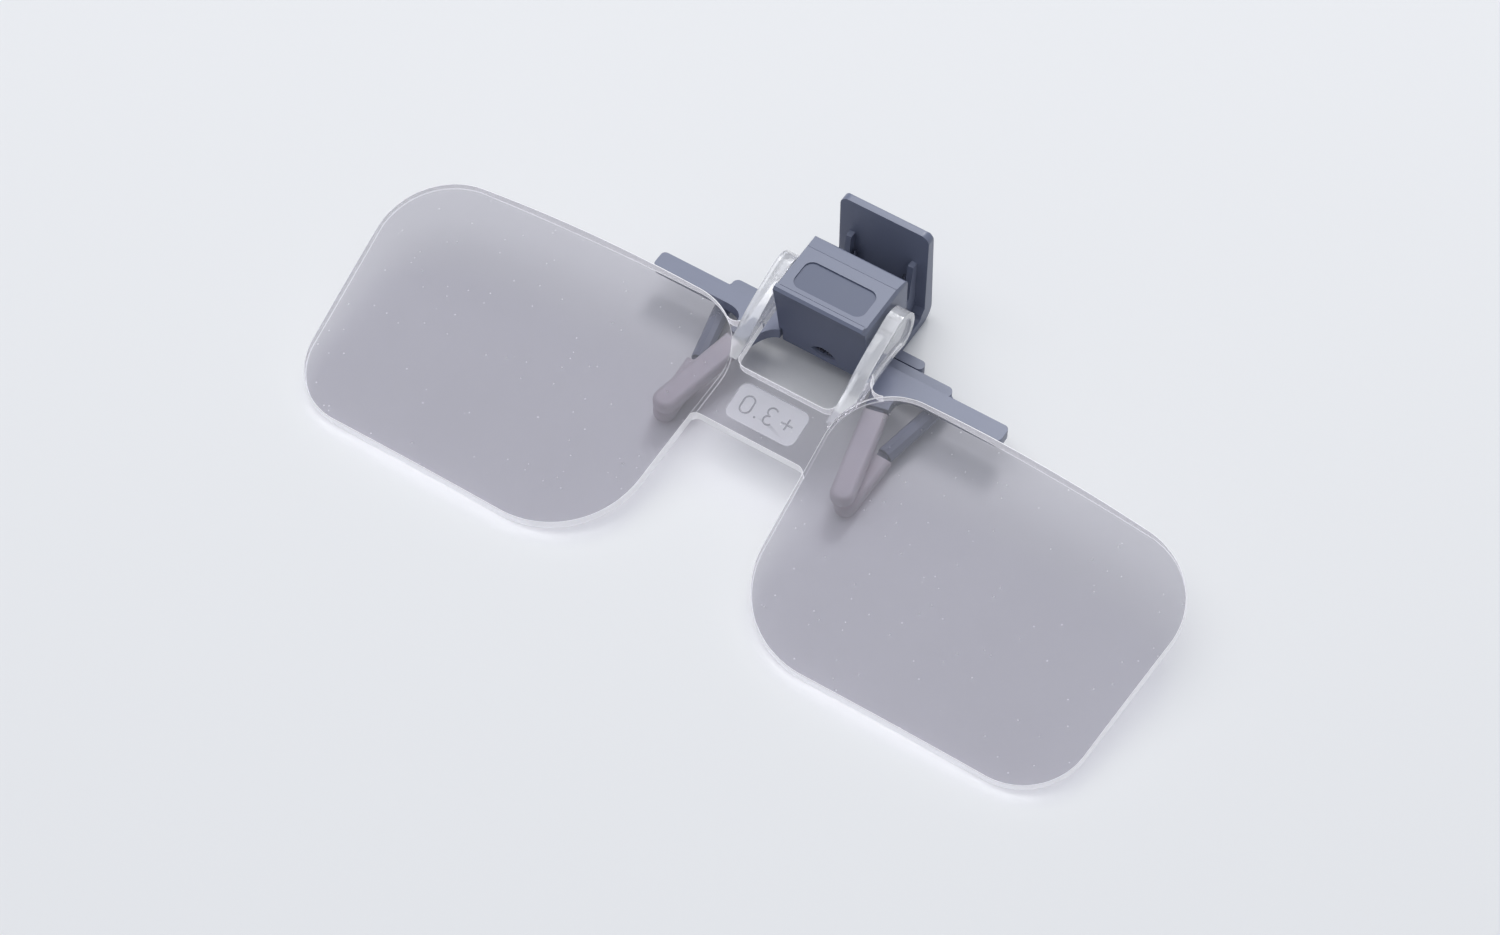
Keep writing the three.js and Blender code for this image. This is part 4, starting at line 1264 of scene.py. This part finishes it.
@dataclass
class JawScrew:
    """The cross-head screw, its head sunk in the body's pocket."""

    head_diameter: float = 2.8 * MM
    head_thickness: float = 0.6 * MM
    head_sink: float = 0.5 * MM
    head_ease: float = 0.18 * MM
    shank_diameter: float = 1.4 * MM
    cross_width: float = 0.42 * MM
    cross_reach: float = 0.95 * MM
    cross_depth: float = 0.35 * MM
    cross_ease: float = 0.03 * MM
    sharp_deg: float = 40

    def build(self, finishes: Finishes) -> None:
        """Build the screw and dress it.

        Args:
            finishes: The materials.
        """
        body = ClipBody()
        end = max(vertex.co.y for vertex in frame["nodes"]["jaw_screw"].data.vertices)
        height = body.screw_height
        top = body.face_y(height) + self.head_sink
        head = top + self.head_thickness
        piece = bar("jaw_screw_steel", self.head_diameter / 2, top, head, Plane.BACK, (0, height))
        eased(piece, self.head_ease, 4, self.sharp_deg)
        inside = top + self.head_thickness / 2
        shank = bar("shank", self.shank_diameter / 2, inside, end, Plane.BACK, (0, height))
        combine(piece, [shank], Cut.JOIN)
        half, reach, floor = self.cross_width / 2, self.cross_reach, top + self.cross_depth
        slots = [
            block("slot", (-wide, top - OVERRUN, height - tall), (wide, floor, height + tall))
            for wide, tall in ((half, reach), (reach, half))
        ]
        combine(piece, slots, Cut.TAKE_AWAY)
        smooth(eased(cleaned(piece), self.cross_ease, 2, self.sharp_deg))
        place(piece, "clip", finishes.dark_steel, ["jaw_screw"])


@dataclass
class TorsionSpring:
    """The wire of the lever's spring: a leg, a coil, the bridge on the body, a coil and a leg.

    Its legs follow the lever, and its coils wind up between them and the bridge.
    """

    wire: float = 0.5 * MM
    coil: float = 2.8 * MM
    pitch: float = 0.95 * MM
    turns: float = 1.5
    spread: float = 7.4 * MM
    leg_rise: float = 5.0 * MM
    bridge_rise: float = 5.9 * MM
    bend: float = 0.8 * MM
    pin_setback: float = 2.6 * MM
    lever_gap: float = 5.5 * MM
    steps_per_turn: int = 36
    smooth_deg: float = 50

    def __post_init__(self) -> None:
        """Take the lever pin's place from the frame."""
        self.pin = Vector(joint_place("lever_squeeze"))

    def right_half(self) -> list[Vector]:
        """Middle line of the right half, from the tip of its leg to the middle of the bridge.

        Returns:
            The line's points.
        """
        pin, outer = self.pin, self.spread / 2
        inner = outer - self.pitch * self.turns
        back_wall = pin.y - self.pin_setback
        leg_y = back_wall + self.lever_gap - self.wire / 2 - RUNNING_GAP
        bridge_y = back_wall + self.wire / 2 + RUNNING_GAP
        points = [Vector((outer, leg_y, pin.z + self.leg_rise))]
        radius, whole = self.coil / 2, self.steps_per_turn
        for step in range(round(self.turns * whole) + 1):
            turn = -2 * math.pi * step / whole
            points.append(Vector((outer - self.pitch * step / whole, pin.y + radius * math.cos(turn),
                                  pin.z + radius * math.sin(turn))))
        top = pin.z + self.bridge_rise
        corner = curve((inner, top - self.bend), (inner, top), (inner - self.bend, top), 10)
        return points + [Vector((x, bridge_y, z)) for x, z in corner]

    def build(self, finishes: Finishes) -> None:
        """Build the wire as one tube and dress it.

        Args:
            finishes: The materials.
        """
        half = self.right_half()
        points = half + [Vector((-point.x, point.y, point.z)) for point in reversed(half)]
        piece = smooth(wire("torsion_spring_wire", points, self.wire / 2), self.smooth_deg)
        bend = ("lever", self.pin, self.pin + Vector((0, self.coil / 2, 0)))
        place(piece, "clip", finishes.slots["bright_steel"], ["torsion_spring"], bend)


# Studio


@dataclass
class Studio:
    """Pale floor, soft lamps, a sky that is brighter above, and the camera of the photograph."""

    camera_place: Triple = (0.1357, -0.2165, 0.3659)
    azimuth_deg: float = 32.69
    elevation_deg: float = 55.5
    focal_mm: float = 84.0
    sensor_mm: float = 36.0
    clip: Pair = (0.01, 20.0)
    floor_colour: Triple = (0.80, 0.80, 0.805)
    floor_size: float = 6.0
    floor_height: float = -0.02 * MM
    soft_lamps: tuple[tuple[str, Triple, float, float], ...] = (
        ("top_lamp", (-0.36, 0.12, 1.1), 1.3, 7.6), ("key_lamp", (-0.15, 0.8, 0.9), 0.35, 5.2))
    sky_colour: Triple = (0.84, 0.9, 1.0)
    sky: Pair = (0.2, 0.5)
    sky_rise: float = 0.9

    def floor(self) -> None:
        """A seamless pale floor under everything."""
        bpy.ops.mesh.primitive_plane_add(size=self.floor_size, location=(0, 0, self.floor_height))
        floor = added("floor")
        recipe = Recipe("pale_floor")
        recipe.set(Base_Color=(*self.floor_colour, 1.0), Roughness=0.9, Specular_IOR_Level=0.15)
        floor.data.materials.append(recipe.material)

    def lamps(self) -> None:
        """Square soft lamps that look at the part, from their place, side and watts."""
        for name, at, size, watts in self.soft_lamps:
            light = bpy.data.lights.new(name, "AREA")
            light.shape = "SQUARE"
            light.size = size
            light.energy = watts
            lamp = bpy.data.objects.new(name, light)
            lamp.location = at
            lamp.rotation_euler = (-Vector(at)).to_track_quat("-Z", "Y").to_euler()
            lamp.visible_transmission = False
            bpy.context.scene.collection.objects.link(lamp)

    def world(self) -> None:
        """A pale sky whose strength rises from the horizon up."""
        world = bpy.data.worlds.new("studio")
        world.use_nodes = True
        tree = world.node_tree
        background = tree.nodes["Background"]
        background.inputs["Color"].default_value = (*self.sky_colour, 1.0)
        direction = tree.nodes.new("ShaderNodeTexCoord")
        parts = tree.nodes.new("ShaderNodeSeparateXYZ")
        rise = tree.nodes.new("ShaderNodeMapRange")
        for name, value in zip(("From Max", "To Min", "To Max"), (self.sky_rise, *self.sky)):
            rise.inputs[name].default_value = value
        tree.links.new(direction.outputs["Generated"], parts.inputs[0])
        tree.links.new(parts.outputs["Z"], rise.inputs["Value"])
        tree.links.new(rise.outputs["Result"], background.inputs["Strength"])
        bpy.context.scene.world = world

    def camera(self) -> None:
        """The camera at the photograph's place and angle."""
        data = bpy.data.cameras.new("camera")
        data.lens = self.focal_mm
        data.sensor_width = self.sensor_mm
        data.clip_start, data.clip_end = self.clip
        camera = bpy.data.objects.new("camera", data)
        azimuth, elevation = math.radians(self.azimuth_deg), math.radians(self.elevation_deg)
        ahead = Vector((-math.sin(azimuth) * math.cos(elevation), math.cos(azimuth) * math.cos(elevation),
                        -math.sin(elevation)))
        camera.location = self.camera_place
        camera.rotation_euler = ahead.to_track_quat("-Z", "Y").to_euler()
        bpy.context.scene.collection.objects.link(camera)
        bpy.context.scene.camera = camera

    def build(self) -> None:
        """Set up the floor, the lamps, the sky, the camera and the view."""
        self.floor()
        self.lamps()
        self.world()
        self.camera()
        bpy.context.scene.view_settings.view_transform = "Standard"


def main() -> None:
    """Build every sub-assembly in order."""
    logging.basicConfig(level=logging.INFO, format="%(name)s: %(message)s")
    Studio().build()
    finishes = Finishes.all_made()
    parts = [
        LensPlate(),
        FramePart("flip_axle", "lenses", Make.STEEL),
        ClipBody(),
        FramePart("detent_leaf", "clip", Make.THIN_STEEL),
        JawScrew(),
        FramePart("front_jaw", "clip", Make.MOULDED),
        ThumbLever(),
        FramePart("lever_pin", "clip", Make.STEEL),
        TorsionSpring(),
        *(FramePart(f"{end}_sleeve_{side}", body, Make.SOFT)
          for end, body in (("front", "clip"), ("rear", "lever")) for side in ("left", "right")),
    ]
    for part in parts:
        part.build(finishes)


if __name__ == "__main__":
    main()
